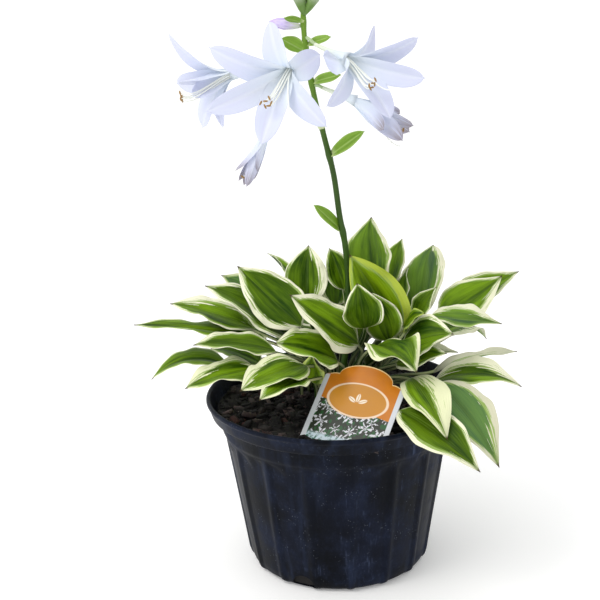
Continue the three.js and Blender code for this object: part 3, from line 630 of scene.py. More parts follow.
def card_surface():
    """The sheet as rings that run up its front and down its back, one for each place across
    its width, with rounded upper corners and a slight bow. Marks: (mm from the left edge, mm
    above the shoulder line, mm below the top edge, or -2 on the back)."""
    arch = CARD_WIDTH / 2 - ARCH_HALF * np.cos(np.linspace(0, np.pi, 41))
    left = np.concatenate([[0, 0.25, 0.8, 1.7], np.linspace(3, arch[0] - 0.15, 8)])
    x = np.concatenate([left, arch, (CARD_WIDTH - left)[::-1]])
    edge = np.minimum(x, CARD_WIDTH - x)
    shoulder = SHOULDER * soft_step(edge, 0, 0.14 * CARD_WIDTH) - 1.4 * np.maximum(1 - edge / 1.7, 0) ** 2
    inside = np.clip(1 - ((x - CARD_WIDTH / 2) / ARCH_HALF) ** 2, 0, 1)
    top = np.where(inside > 0, SHOULDER + ARCH_RISE * np.sqrt(inside), shoulder)
    low = -CARD_LEFT_EDGE + (CARD_LEFT_EDGE - CARD_RIGHT_EDGE) * x / CARD_WIDTH
    share = np.linspace(0, 1, 24)
    y = low[:, None] + (top - low)[:, None] * share
    bow = CARD_BOW * np.sin(np.pi * x / CARD_WIDTH)[:, None] * share
    flat = CARD_TOP_LEFT + x[:, None, None] * CARD_RIGHT + y[..., None] * card_up + bow[..., None] * card_face
    thick = CARD_THICKNESS / 2 * card_face
    place = np.stack([np.repeat(x[:, None], len(share), 1), y, top[:, None] - y], -1)
    behind = place * [1, 1, 0] + [0, 0, ON_BACK]
    rings = np.concatenate([flat + thick, (flat - thick)[:, ::-1]], 1)
    return rings, np.concatenate([place, behind[:, ::-1]], 1)


def stake_surface():
    """The stake as rings from behind the sheet's lower edge down into the soil."""
    centre = CARD_TOP_LEFT + STAKE_TOP[0] * CARD_RIGHT + STAKE_TOP[1] * card_up
    rings = []
    for length, lean, half in STAKE:
        along = unit(-card_up * (1 - lean) - UP * lean)
        centre = centre + along * length
        normal = unit(np.cross(CARD_RIGHT, along))
        rings.append(strip_ring(centre, np.cross(along, normal), normal, half, CARD_THICKNESS, 3))
    return np.array(rings)


card_rings, card_place = card_surface()
stake = skin(stake_surface())
card_points, card_quads = joined([skin(card_rings), stake])
card_place = np.concatenate([card_place.reshape(-1, 3), np.full((len(stake[0]), 3), ON_BACK)])

card_finish, tree, shader = new_material("printed_card", 0.32)
mark = node(tree, "ShaderNodeAttribute", attribute_name="print").outputs["Vector"]
across, up_card, below_top = node(tree, "ShaderNodeSeparateXYZ", {0: mark}).outputs
place = object_place(tree)


def ellipse(tree, across, along, centre, half):
    """How far a place is from an ellipse's middle: 1 on its edge."""
    x = calc(tree, "DIVIDE", calc(tree, "SUBTRACT", across, centre[0]), half[0])
    y = calc(tree, "DIVIDE", calc(tree, "SUBTRACT", along, centre[1]), half[1])
    return calc(tree, "SQRT", calc(tree, "ADD", calc(tree, "POWER", x, 2.0), calc(tree, "POWER", y, 2.0)))


def sprig_leaf(tree, x, y, bearing, reach, long):
    """1 on a leaf that points away from the sprig's foot along a bearing, with a bare rib:
    what two overlapping ellipses share, less a line along their middle."""
    c, s = np.cos(np.radians(bearing)), np.sin(np.radians(bearing))
    down_leaf = calc(tree, "ADD", times(tree, x, c), times(tree, y, s))
    over_leaf = calc(tree, "SUBTRACT", times(tree, y, c), times(tree, x, s))
    one_bow = ellipse(tree, down_leaf, over_leaf, (reach, 1.6), (long, 3.4))
    other_bow = ellipse(tree, down_leaf, over_leaf, (reach, -1.6), (long, 3.4))
    one_leaf = step(tree, calc(tree, "MAXIMUM", one_bow, other_bow), 1.0, 0.9)
    rib = step(tree, calc(tree, "ABSOLUTE", over_leaf), 0.12, 0.3)
    return times(tree, one_leaf, rib)


# The print: an orange field with a paler oval that holds a plain three-leaved sprig, over a
# picture of pale starry flowers above a pale pool, with bare white strips down both sides.
OVAL_MIDDLE = (33.0, -17.0)
OVAL_HALF = (25.5, 15.0)
SPRIG_DROP = 2.5
orange = blend(tree, noise(tree, mark, 0.12, 2.0), srgb(196, 112, 8), srgb(208, 126, 14))
oval_reach = ellipse(tree, across, up_card, OVAL_MIDDLE, OVAL_HALF)
field = blend(tree, step(tree, oval_reach, 1.0, 0.97), orange, srgb(240, 214, 186))
field = blend(tree, step(tree, oval_reach, 0.92, 0.89), field, srgb(198, 134, 36))
sprig_x = calc(tree, "SUBTRACT", across, OVAL_MIDDLE[0])
sprig_y = calc(tree, "SUBTRACT", up_card, OVAL_MIDDLE[1] - SPRIG_DROP)
sprig = 0.0
for bearing, reach, long in ((90, 4.6, 4.8), (28, 5.0, 4.6), (152, 5.0, 4.6)):
    sprig = calc(tree, "MAXIMUM", sprig_leaf(tree, sprig_x, sprig_y, bearing, reach, long), sprig)
field = blend(tree, sprig, field, srgb(244, 230, 208))

# Each flower is a star of six lobes round the middle of a cell, in places that noise pulls
# about. How far its petals reach at an angle a is 0.4 + 6.4 times |cos 3a| to the 1.8.
FLOWERS_PER_MM = 0.09
POOL_TOP = -49.0
flat_mark = stretched(tree, mark, (1.0, 1.0, 0.0))
pull = {0: noise(tree, flat_mark, 0.5, 2.0), 1: (4.0, 4.0, 0.0)}
pull = node(tree, "ShaderNodeVectorMath", pull, operation="MULTIPLY").outputs[0]
pulled = node(tree, "ShaderNodeVectorMath", {0: flat_mark, 1: pull}).outputs[0]
cells = {"Vector": pulled, "Scale": FLOWERS_PER_MM, "Randomness": 0.8}
cells = node(tree, "ShaderNodeTexVoronoi", cells)
apart = {0: pulled, 1: cells.outputs["Position"]}
apart = node(tree, "ShaderNodeVectorMath", apart, operation="SUBTRACT").outputs[0]
apart_x, apart_y, _ = node(tree, "ShaderNodeSeparateXYZ", {0: apart}).outputs
from_middle = times(tree, cells.outputs["Distance"], 1 / FLOWERS_PER_MM)
turn = calc(tree, "ARCTAN2", apart_y, apart_x)
lobes = calc(tree, "ABSOLUTE", calc(tree, "COSINE", times(tree, turn, 3.0)))
petal_end = calc(tree, "MULTIPLY_ADD", calc(tree, "POWER", lobes, 1.8), 6.4, 0.4)
star = step(tree, calc(tree, "SUBTRACT", petal_end, from_middle), -0.2, 0.3)
star = times(tree, star, step(tree, noise(tree, flat_mark, 0.7, 2.0), 0.36, 0.44))
small = {"Vector": stretched(tree, mark, (0.34, 0.2, 0.0)), "Scale": 1.0}
small = node(tree, "ShaderNodeTexVoronoi", small).outputs["Distance"]
picture = blend(tree, noise(tree, mark, 0.35, 3.0), srgb(8, 20, 10), srgb(48, 56, 40))
picture = blend(tree, step(tree, small, 0.5, 0.36), picture, srgb(22, 84, 36))
picture = blend(tree, star, picture, srgb(222, 222, 230))
picture = blend(tree, step(tree, from_middle, 1.9, 1.3), picture, srgb(24, 104, 48))
pool = step(tree, noise(tree, stretched(tree, mark, (1.0, 0.3, 1.0)), 0.3, 2.0), 0.36, 0.56)
pool = blend(tree, pool, srgb(20, 104, 84), srgb(202, 220, 230))
picture = blend(tree, step(tree, up_card, POOL_TOP, POOL_TOP - 3), picture, pool)

# The picture's upper edge slopes down to the right and goes round the oval.
PICTURE_TOP = -20.0
PICTURE_FALL = 9
boundary = calc(tree, "MULTIPLY_ADD", across, -PICTURE_FALL / CARD_WIDTH, PICTURE_TOP)
lower = step(tree, calc(tree, "SUBTRACT", up_card, boundary), 0.2, -0.2)
lower = times(tree, lower, step(tree, oval_reach, 0.98, 1.0))
colour = blend(tree, lower, field, picture)
side = calc(tree, "MINIMUM", across, calc(tree, "SUBTRACT", CARD_WIDTH, across))
bare = times(tree, step(tree, side, 4.1, 3.7), step(tree, up_card, 1.0, -1.0))
bare = calc(tree, "MAXIMUM", bare, step(tree, side, 0.7, 0.5))
colour = blend(tree, bare, colour, srgb(212, 216, 222))
outlined = times(tree, step(tree, below_top, 1.1, 0.7), step(tree, side, 3.9, 4.3))
colour = blend(tree, outlined, colour, srgb(240, 210, 150))
colour = blend(tree, step(tree, below_top, -1.2, -0.8), srgb(226, 226, 220), colour)
film = use_group(tree, dust, {"Place": place, "Size": 300.0})["Film"]
colour = blend(tree, times(tree, film, 0.12), colour, srgb(120, 110, 100))
tree.links.new(colour, shader.inputs["Base Color"])
tree.links.new(calc(tree, "MULTIPLY_ADD", film, 0.2, 0.28), shader.inputs["Roughness"])
bump(tree, shader, noise(tree, place, 90.0, 2.0), 0.15)
card = mesh_object("printed_plant_card", card_points, card_quads, card_finish, {"print": card_place})
card.data.set_sharp_from_angle(angle=np.radians(40))
fit_piece(card, "card_plastic", "plant_card")

# Leaves
# Each leaf grew as one piece: a channelled stalk out of the soil that widens into a pointed
# blade with a cream edge. The blade is folded along its rib, arched over and a little waved.
FOOT_SPACING = 7.6
FOOT_SHARE_HIGH = 0.16
FOOT_SHARE_LOW = 0.44
FOOT_BOTTOM = 124
FOOT_TOP = 145
STALK_HALF_WIDTH = 2.1
STALK_THICKNESS = 2.8
BLADE_THICKNESS = 0.7
TIP_HALF_WIDTH = 0.35
BLADE_ROWS = 56
STALK_ROWS = 14
ACROSS = 37
# Necks at these heights have feet at the high and the low share of the way to them.
NECK_HIGH = 230
NECK_LOW = 150
PUSH_ROUNDS = 400
# A cream edge no wider than this narrows with the blade.
BROAD_CREAM = 8

# name: neck, tip, width, arch, roll, fold, wave, as the solids have them; then the width of
# the cream edge on the left and right half, how yellow the green is, and how much painted
# bluish-grey sheen it has, or below 0 how dark it is.
LEAVES = {
    "leaf_tall_right": ([36, 30, 222], [32, 41, 278], 50, 4, -8, 14, 2, (2.0, 3.0), 0.2, 0.3),
    "leaf_tall_left": ([-22, 28, 207], [-20, 46, 254], 36, 4, -35, 18, 2, (1.5, 5.5), 0.0, -0.5),
    "leaf_slim_left": ([-31, 50, 212], [-56, 78, 240], 30, 3, 26, 20, 1, (1.0, 3.5), 0.1, 0.0),
    "leaf_slim_right": ([50, 54, 216], [59, 74, 251], 24, 3, -4, 22, 1, (1.0, 1.2), 0.0, 0.1),
    "leaf_rounded_right": ([74, 34, 195], [86, 82, 243], 46, 8, -10, 8, 1, (2.5, 4.8), 0.1, 0.6),
    "leaf_small_right": ([63, 40, 195], [63, 56, 231], 25, 3, -20, 26, 2, (2.0, 2.0), 0.0, 0.3),
    "leaf_left_broad": ([-27, 4, 197], [-78, 26, 243], 46, -1, -40, 14, 2, (4.6, 2.6), 0.1, -0.3),
    "leaf_left_behind": ([-40, 40, 194], [-95, 60, 226], 38, 3, -20, 16, 1, (1.2, 2.6), 0.0, 0.9),
    "leaf_left_dark": ([-37, 9, 185], [-105, 22, 228], 44, 4, -14, 16, 3, (2.8, 2.6), 0.0, -0.8),
    "leaf_left_pale": ([-67, 18, 191], [-135, 26, 212], 42, 3, -12, 14, 2, (1.5, 8.0), 0.1, 0.0),
    "leaf_left_flat": ([-70, 4, 189], [-162, 2, 202], 38, 1, 2, 12, 2, (0.6, 1.0), 0.35, 0.0),
    "leaf_left_lower": ([-47, -18, 183], [-110, -34, 196], 38, 3, -10, 14, 2, (1.5, 3.6), 0.1, -0.6),
    "leaf_left_droop": ([-86, -4, 165], [-148, -12, 160], 36, 12, -4, 12, 1, (1.0, 1.2), 0.3, 0.0),
    "leaf_left_tucked": ([-62, 22, 158], [-104, 32, 170], 34, 4, -8, 12, 1, (1.0, 2.0), 0.0, 0.2),
    "leaf_left_front": ([-60, -36, 174], [-115, -58, 169], 40, 4, -8, 12, 3, (1.5, 7.0), 0.4, 0.0),
    "leaf_front_over_soil": ([-23, -38, 178], [-71, -78, 174], 44, 2, -8, 14, 3, (2.0, 6.5), 0.4, 0.0),
    "leaf_front_cream": ([18, -26, 191], [-33, -46, 239], 44, -2, -60, 14, 3, (6.0, 3.6), 0.2, 0.0),
    "leaf_front_folded": ([1, -38, 182], [-45, -60, 205], 44, 2, -34, 18, 3, (2.0, 3.6), 0.3, 0.0),
    "leaf_front_facing": ([-14, -28, 160], [-18, -31, 186], 24, 0, 170, 14, 2, (2.0, 2.5), 0.9, 0.0),
    "leaf_front_low": ([-22, -56, 173], [-56, -92, 172], 30, 2, 0, 14, 2, (2.0, 3.0), 0.4, 0.0),
    "leaf_middle_bright": ([51, 6, 188], [13, 1, 257], 42, 5, -145, 20, 4, (2.0, 5.5), 1.0, 0.0),
    "leaf_middle_hung": ([43, -11, 190], [29, -20, 232], 30, 2, 155, 16, 3, (1.2, 1.2), 0.1, 0.0),
    "leaf_middle_lime": ([56, -12, 197], [71, -20, 214], 22, 3, 20, 12, 1, (0.8, 0.8), 1.0, 0.0),
    "leaf_middle_dark": ([24, -27, 206], [18, -43, 246], 32, 3, 175, 22, 3, (1.0, 1.4), 0.0, -0.7),
    "leaf_middle_small": ([8, 24, 222], [-3, 31, 255], 22, 3, -14, 30, 2, (1.0, 1.0), 0.0, 0.0),
    "leaf_middle_back": ([1, 43, 202], [2, 58, 237], 30, 4, 0, 20, 2, (3.0, 3.0), 0.1, 0.3),
    "leaf_right_high": ([86, 22, 196], [139, 38, 227], 40, -4, 34, 16, 1, (2.0, 5.0), 0.2, 0.1),
    "leaf_right_high_back": ([92, 42, 195], [156, 60, 224], 34, 1, 26, 16, 1, (2.6, 1.6), 0.1, 0.1),
    "leaf_right_reach": ([77, -5, 206], [132, -14, 202], 32, 1, 14, 14, 2, (6.0, 1.0), 0.2, 0.5),
    "leaf_right_sharp": ([68, 9, 194], [83, 15, 225], 25, 2, 20, 26, 1, (1.3, 1.3), 0.1, -0.4),
    "leaf_right_facing": ([55, -16, 184], [92, -34, 201], 40, 4, 36, 14, 2, (3.6, 1.6), 0.1, -0.4),
    "leaf_right_under": ([58, -8, 168], [98, -14, 179], 28, 3, 8, 14, 2, (9.0, 6.0), 0.1, 0.0),
    "leaf_right_level": ([49, -25, 174], [86, -44, 189], 34, 0, 22, 14, 2, (2.4, 2.0), 0.2, 0.0),
    "leaf_front_curled": ([32, -38, 192], [61, -75, 185], 42, 6, 4, 18, 7, (3.6, 3.6), 0.4, 0.1),
    "leaf_right_pale": ([83, 28, 148], [153, 39, 160], 34, 3, -36, 10, 2, (12.0, 12.0), 0.0, 1.0),
    "leaf_right_low": ([80, -12, 153], [147, -25, 153], 36, 10, 14, 12, 2, (9.0, 1.4), 0.2, 0.0),
    "leaf_corner_short": ([60, -38, 166], [81, -106, 144], 34, 8, 12, 12, 3, (12.0, 3.4), 0.45, 0.0),
    "leaf_corner_broad": ([79, -34, 160], [121, -92, 115], 44, 8, 14, 10, 3, (6.5, 3.0), 0.15, 1.3),
    "leaf_corner_hanging": ([48, -72, 153], [103, -123, 126], 40, 4, 10, 12, 3, (2.0, 3.4), 0.2, -0.8),
    "leaf_inner_left": ([-19, 33, 164], [-50, 54, 177], 40, 4, -18, 14, 2, (1.5, 2.5), 0.0, 0.2),
    "leaf_inner_back": ([18, 46, 166], [17, 62, 218], 44, 4, 0, 16, 2, (1.5, 1.5), 0.0, 0.2),
    "leaf_inner_middle": ([28, 2, 163], [42, -6, 192], 24, 2, 0, 14, 2, (1.2, 1.2), 0.1, -0.5),
    "leaf_inner_right": ([58, 19, 191], [38, 10, 237], 22, 3, -164, 14, 2, (1.5, 1.5), 0.0, 0.1),
    "leaf_back_middle": ([10, 76, 186], [14, 142, 196], 42, 13, 6, 14, 2, (3.6, 3.0), 0.1, 0.2),
    "leaf_back_left": ([-36, 74, 180], [-72, 128, 184], 42, 13, -6, 14, 2, (3.0, 4.4), 0.2, 0.1),
    "leaf_back_right": ([54, 78, 182], [94, 130, 190], 42, 13, 8, 14, 2, (4.2, 2.6), 0.1, 0.2),
    "leaf_back_low_left": ([-62, 54, 160], [-116, 94, 154], 40, 15, -4, 12, 3, (2.6, 3.6), 0.2, 0.2),
    "leaf_back_low_right": ([78, 56, 160], [134, 92, 154], 40, 15, 6, 12, 3, (3.4, 4.2), 0.1, 0.0),
    "leaf_back_low": ([-12, 80, 160], [-22, 140, 146], 42, 15, 0, 12, 3, (3.8, 3.0), 0.2, 0.1),
}
# Where the stalks shade each other most, in metres.
CROWN_CORE = (0.013, 0.0, 0.152)
# Leaves whose stalks touch, so that they are one piece.
JOINED = {"leaves_front_left": ["leaf_front_over_soil", "leaf_front_low", "leaf_front_facing"]}


def crown_feet():
    """Where each stalk leaves the soil, the scape's foot last: a share of the way to its
    neck, more for a low leaf, then all pushed a stalk's room apart, pair by pair."""
    necks = np.array([leaf[0] for leaf in LEAVES.values()], float)
    lowness = (NECK_HIGH - necks[:, [2]]) / (NECK_HIGH - NECK_LOW)
    share = FOOT_SHARE_HIGH + lowness * (FOOT_SHARE_LOW - FOOT_SHARE_HIGH)
    feet = np.concatenate([CROWN + (necks[:, :2] - CROWN) * share, [CROWN]]).tolist()
    for _ in range(PUSH_ROUNDS):
        crowded = False
        for i, foot in enumerate(feet):
            for other in feet[i + 1:]:
                dx, dy = other[0] - foot[0], other[1] - foot[1]
                apart = (dx * dx + dy * dy) ** 0.5
                short = FOOT_SPACING - apart
                if short <= 0:
                    continue
                crowded = True
                dx, dy = dx / apart * short / 2, dy / apart * short / 2
                other[0], other[1] = other[0] + dx, other[1] + dy
                foot[0], foot[1] = foot[0] - dx, foot[1] - dy
        if not crowded:
            break
    return np.array(feet)


def bezier(a, b, c, d, t):
    """Points on a cubic curve at shares t of its way, and its directions there."""
    t = np.asarray(t, float)[:, None]
    s = 1 - t
    place = s ** 3 * a + 3 * s * s * t * b + 3 * s * t * t * c + t ** 3 * d
    along = s * s * (b - a) + 2 * s * t * (c - b) + t * t * (d - c)
    return place, unit(along)


def rolled_axes(along, sideways, roll):
    """Side and upper-face directions of a strip that runs along given directions: the side
    is square to them, turned about them by an angle in degrees."""
    side = unit(sideways - along * (along @ sideways)[:, None])
    turn = np.radians(np.broadcast_to(roll, len(along)))[:, None]
    side = side * np.cos(turn) + np.cross(along, side) * np.sin(turn)
    return side, unit(np.cross(side, along))


def blade_shape(t, a, b):
    """How wide a blade is along its length: t to the a times (1 - t) to the b, at most 1."""
    peak = a / (a + b)
    return t ** a * (1 - t) ** b / (peak ** a * (1 - peak) ** b)


def leaf_surface(leaf, foot, number):
    """The leaf's skin. Its line is one curve up the stalk and one along the blade. Each ring
    spans the width u from -1 to 1, lifted by the fold, the edge's waves and a soft swell in
    each half. Marks: (u, share along, under face), (way to the edge in mm, cream width, half
    width) and (yellow, painted bluish sheen or below 0 darkness, a number of its own)."""
    neck, tip, width, arch, roll, fold, wave, cream, yellow, sheen_and_darkness = leaf
    neck, tip = np.array(neck, float), np.array(tip, float)
    heading = unit([tip[0] - foot[0], tip[1] - foot[1], 0])
    sideways = np.cross(heading, UP)
    reach = tip - neck
    upper = rolled_axes(unit(reach)[None], sideways, roll)[1][0]
    bulge = unit((upper + UP) / 2) * (4 / 3) * arch
    t = 1 - (1 - np.linspace(0, 1, BLADE_ROWS)[1:]) ** 1.25
    blade_curve = (neck, neck + reach * 0.33 + bulge, neck + reach * 0.7 + bulge, tip)
    blade, blade_along = bezier(*blade_curve, t)
    start = bezier(*blade_curve, [0.0])[1][0]
    top = np.array([foot[0], foot[1], FOOT_TOP])
    rise = np.linalg.norm(neck - top)
    lift_off = top + UP * min(0.4 * rise, 6 + 0.5 * (neck[2] - FOOT_TOP))
    s = np.linspace(0, 1, STALK_ROWS)
    stalk, stalk_along = bezier(top, lift_off, neck - start * 0.3 * rise, neck, s)
    under_ground = np.array([foot[0], foot[1], FOOT_BOTTOM])
    centre = np.concatenate([[under_ground], stalk, blade])
    along = np.concatenate([[UP], stalk_along, blade_along])
    place = np.concatenate([[-1.2], s - 1, t])
    share = np.clip(np.concatenate([[0], s, np.ones_like(t)]), 0, 1)
    side, normal = rolled_axes(along, sideways, roll * share)
    on_blade = np.clip(place, 0, 1)[:, None]
    outline = blade_shape(np.clip(on_blade, 1e-4, 0.9999), 0.7, 1.15) * width / 2
    half = np.maximum(outline, STALK_HALF_WIDTH * (1 - 0.45 * np.clip(place + 1, 0, 1)[:, None]))
    tail = TIP_HALF_WIDTH + (STALK_HALF_WIDTH - TIP_HALF_WIDTH) * (1 - on_blade) ** 2
    half = np.where(place[:, None] > 0, np.maximum(outline, tail), half)
    u = np.sin(np.linspace(-1, 1, ACROSS) * 1.25) / np.sin(1.25)
    bare = np.abs(u)
    phase = np.where(u < 0, 0.35, 0.0)
    opened = np.where(place[:, None] > 0, 1.0, 0.3)
    lift = np.sqrt(bare ** 2 + 0.004) * half * np.sin(np.radians(fold)) * opened
    lift = lift + wave * np.sin(np.pi * on_blade) * u ** 2 * np.sin(2 * np.pi * (1.6 * on_blade + phase))
    ripple = np.sin(2 * np.pi * (4.3 * on_blade + number * 0.37 + (u < 0) * 0.5))
    lift = lift + 0.035 * half * np.sin(np.pi * on_blade) * bare ** 3 * ripple
    lift = lift + 0.07 * half * np.sin(np.pi * bare) * (place[:, None] > 0)
    veins = 0.16 * np.minimum(1, half / 12) * np.abs(np.sin(np.pi * 4.5 * bare ** 0.9))
    lift = lift + veins * np.sqrt(np.sin(np.pi * on_blade))
    thin = STALK_THICKNESS + (BLADE_THICKNESS - STALK_THICKNESS) * soft_step(on_blade, 0, 0.45)
    thick = np.minimum(thin * np.sqrt(np.maximum(1 - 0.93 * bare ** 2, 0.07)), thin)
    middle = centre[:, None] + (u * half)[..., None] * side[:, None] + lift[..., None] * normal[:, None]
    swell = (thick / 2)[..., None] * normal[:, None]
    rings = np.concatenate([middle + swell, (middle - swell)[:, ::-1]], 1)
    rows = np.ones((len(place), ACROSS))
    upper_face = np.stack([u * rows, place[:, None] * rows, 0 * rows], -1)
    under_face = upper_face[:, ::-1] + [0, 0, 1]
    edge_width = np.where(u < 0, cream[0], cream[1]) * rows
    narrowed = np.minimum(edge_width, 0.55 * half)
    edge_width = np.where(edge_width > BROAD_CREAM, edge_width, narrowed)
    edge = np.stack([(1 - bare) * half, edge_width, half * rows], -1)
    tint = np.broadcast_to([yellow, sheen_and_darkness, number * 7.31], (len(place), 2 * ACROSS, 3))
    marks = (np.concatenate([upper_face, under_face], 1), np.concatenate([edge, edge[:, ::-1]], 1), tint)
    return skin(rings), [mark.reshape(-1, 3) for mark in marks]


# Lines that run with the veins, for leaf, stem and petal alike: fine ones, and broad ones.
streaks, given, streaks_out = new_group(
    "streaks",
    {"Place": ("NodeSocketVector", None), "Across": ("NodeSocketFloat", 14.0),
     "Along": ("NodeSocketFloat", 2.5)},
    ["Fine", "Broad"],
)
x, y, z = node(streaks, "ShaderNodeSeparateXYZ", {0: given["Place"]}).outputs
x, y = times(streaks, x, given["Across"]), times(streaks, y, given["Along"])
spot = node(streaks, "ShaderNodeCombineXYZ", {0: x, 1: y, 2: z}).outputs[0]
for socket, scale, detail in (("Fine", 1.0, 3.0), ("Broad", 0.32, 2.0)):
    streaks.links.new(noise(streaks, spot, scale, detail, 0.6), streaks_out.inputs[socket])


def streaked(tree, across, along, number, per_width, per_length):
    """The streaks on a surface at a place across and along it, and that place itself."""
    place = node(tree, "ShaderNodeCombineXYZ", {0: across, 1: along, 2: number}).outputs[0]
    drawn = use_group(tree, streaks, {"Place": place, "Across": per_width, "Along": per_length})
    return drawn["Fine"], drawn["Broad"], place


leaf_finish, tree, shader = new_material("leaf_tissue", 0.4)
across, along, under = point_values(tree, "leaf_place")
to_edge, cream_width, half_width = point_values(tree, "leaf_edge")
yellow, sheen_and_darkness, own_number = point_values(tree, "leaf_tint")
off_rib = calc(tree, "ABSOLUTE", across)
fine, broad, place = streaked(tree, across, along, own_number, 13.0, 2.6)
finer, less_fine, _ = streaked(tree, across, along, own_number, 34.0, 4.0)

# The green: light and dark in long streaks, yellower by leaf, and by leaf either greyed by a painted bluish
# sheen or darker.
shader.inputs["Specular IOR Level"].default_value = 0.11
mottle = noise(tree, stretched(tree, place, (1.6, 1.3, 1.0)), 1.0, 3.0, 0.55)
tone = calc(tree, "MULTIPLY_ADD", broad, 0.45, times(tree, mottle, 0.55))
green = blend(tree, step(tree, tone, 0.34, 0.66), srgb(30, 64, 0), srgb(122, 161, 14))
# Painted sheen: bluish grey over the green where the value is above 0, darker green below 0.
green = blend(tree, times(tree, sheen_and_darkness, 0.55), green, srgb(88, 126, 84))
green = blend(tree, times(tree, sheen_and_darkness, -0.6), green, srgb(18, 48, 4))
sunlit = times(tree, yellow, step(tree, mottle, 0.3, 0.7))
green = blend(tree, times(tree, sunlit, 0.5), green, srgb(138, 166, 10))
fine_line = times(tree, step(tree, finer, 0.5, 0.8), 0.3)
green = blend(tree, fine_line, green, srgb(136, 168, 62))

# The edge: the cream reaches inwards in fingers between the veins, over a paler green.
inward = calc(tree, "SUBTRACT", to_edge, cream_width)
finger = times(tree, calc(tree, "SUBTRACT", fine, 0.5), calc(tree, "ADD", cream_width, 1.2))
near = calc(tree, "SUBTRACT", inward, times(tree, finger, 3.4))
cream_here = step(tree, near, 0.25, -0.25)
short_finger = times(tree, calc(tree, "SUBTRACT", finer, 0.4), calc(tree, "ADD", cream_width, 1.0))
between = step(tree, calc(tree, "SUBTRACT", inward, short_finger), 1.9, 0.2)
cream = blend(tree, calc(tree, "POWER", yellow, 1.6), srgb(252, 250, 226), srgb(178, 198, 18))
cream = blend(tree, times(tree, broad, 0.3), cream, srgb(214, 220, 174))
# The painted sheen greys the cream as well.
cream = blend(tree, times(tree, sheen_and_darkness, 0.4), cream, srgb(190, 188, 160))
transition = blend(tree, broad, srgb(182, 203, 126), srgb(138, 169, 76))
colour = blend(tree, times(tree, between, 0.85), green, transition)
colour = blend(tree, cream_here, colour, cream)

# The rib is a little paler, with painted shade in the crease along it, and the under face is
# pale and dull. The stalk is green with cream edges, the tip is dry, and the crown is dark with
# shade.
from_rib = times(tree, off_rib, half_width)
rib = step(tree, from_rib, 0.7, 0.3)
colour = blend(tree, times(tree, rib, 0.1), colour, srgb(150, 176, 96))
# Painted shade in the crease of the fold along the rib, on the upper face only.
crease_shade_depth = calc(tree, "SUBTRACT", 0.22, times(tree, under, 0.22))
crease_shade = times(tree, step(tree, from_rib, 3.0, 0.5), crease_shade_depth)
colour = blend(tree, crease_shade, colour, srgb(24, 54, 4))
colour = blend(tree, times(tree, under, 0.22), colour, srgb(170, 186, 148))
stalk_green = blend(tree, step(tree, off_rib, 0.55, 0.85), srgb(56, 96, 20), srgb(196, 206, 152))
colour = blend(tree, step(tree, along, 0.02, -0.06), colour, stalk_green)
colour = blend(tree, step(tree, along, 0.95, 0.985), colour, srgb(74, 62, 36))
deep = {0: object_place(tree), 1: CROWN_CORE}
deep = node(tree, "ShaderNodeVectorMath", deep, operation="DISTANCE").outputs["Value"]
deep = times(tree, step(tree, deep, 0.08, 0.04), calc(tree, "SUBTRACT", 1.0, yellow))
colour = blend(tree, times(tree, deep, 0.8), colour, srgb(12, 22, 5))
tree.links.new(colour, shader.inputs["Base Color"])
rough = calc(tree, "MULTIPLY_ADD", under, 0.25, 0.36)
tree.links.new(calc(tree, "MULTIPLY_ADD", less_fine, 0.12, rough), shader.inputs["Roughness"])
vein = times(tree, calc(tree, "POWER", off_rib, 0.9), np.pi * 9)
vein = calc(tree, "ABSOLUTE", calc(tree, "SINE", vein))
relief = calc(tree, "ADD", calc(tree, "POWER", vein, 0.6), times(tree, finer, 0.5))
bump(tree, shader, relief, 0.22, 0.7)

feet = crown_feet()
grown = {}
for number, (name, leaf) in enumerate(LEAVES.items()):
    grown[name] = leaf_surface(leaf, feet[number], number)
bunches = {name: [name] for name in LEAVES}
for name, members in JOINED.items():
    bunches[name] = members
    for member in members:
        del bunches[member]
for name, members in bunches.items():
    points, quads = joined([grown[member][0] for member in members])
    marks = [np.concatenate([grown[member][1][i] for member in members]) for i in range(3)]
    marks = dict(zip(("leaf_place", "leaf_edge", "leaf_tint"), marks))
    piece = mesh_object("grown_" + name, points, quads, leaf_finish, marks)
    fit_piece(piece, "leaf_tissue", name)

# Flower scape
# One round stem leans up out of the crown, with leafy bracts, the blooms' own short stalks,
# a pale ring where a bract sat, and the green tip with its unopened buds.
SCAPE_FOOT_RADIUS = 2.7
SCAPE_TOP_RADIUS = 1.9
SCAPE_POINTS = [
    [11, 14, 190], [12, 16, 232], [10, 13, 262], [6, 10, 287], [2, 8, 320],
    [-4, 6, 347], [-11, 3, 379], [-16, 1, 409], [-18, 0, 431], [-18, 0, 458],
]
# foot, tip, width, roll
BRACTS = [
    ([-17, 0, 415], [-35, -6, 426], 12, 60),
    ([-16, 0, 420], [2, -4, 426], 8, 50),
    ([-12, 2, 392], [9, -6, 398], 10, 50),
    ([0, 7, 335], [26, -4, 355], 12, 60),
    ([8, 13, 273], [-14, 4, 297], 11, -60),
    ([-7, 4, 361], [-14, -5, 365], 7, 10),
    ([-18, -2, 437], [-32, -12, 441], 6, 50),
]
RING_HEIGHT = 359
BUD_LEFT = {"stem": [-18, 1, 433], "base": [-21, 1, 434], "tip": [-44, -1, 438], "radius": 4.4}
TOP_BUDS = [
    ([-17, -1, 442], [-25, -4, 468], 4.6),
    ([-17, -1, 443], [-2, -4, 466], 4.2),
    ([-18, 0, 456], [-14, 2, 484], 4.6),
    ([-18, 0, 450], [-9, 6, 474], 4.0),
]
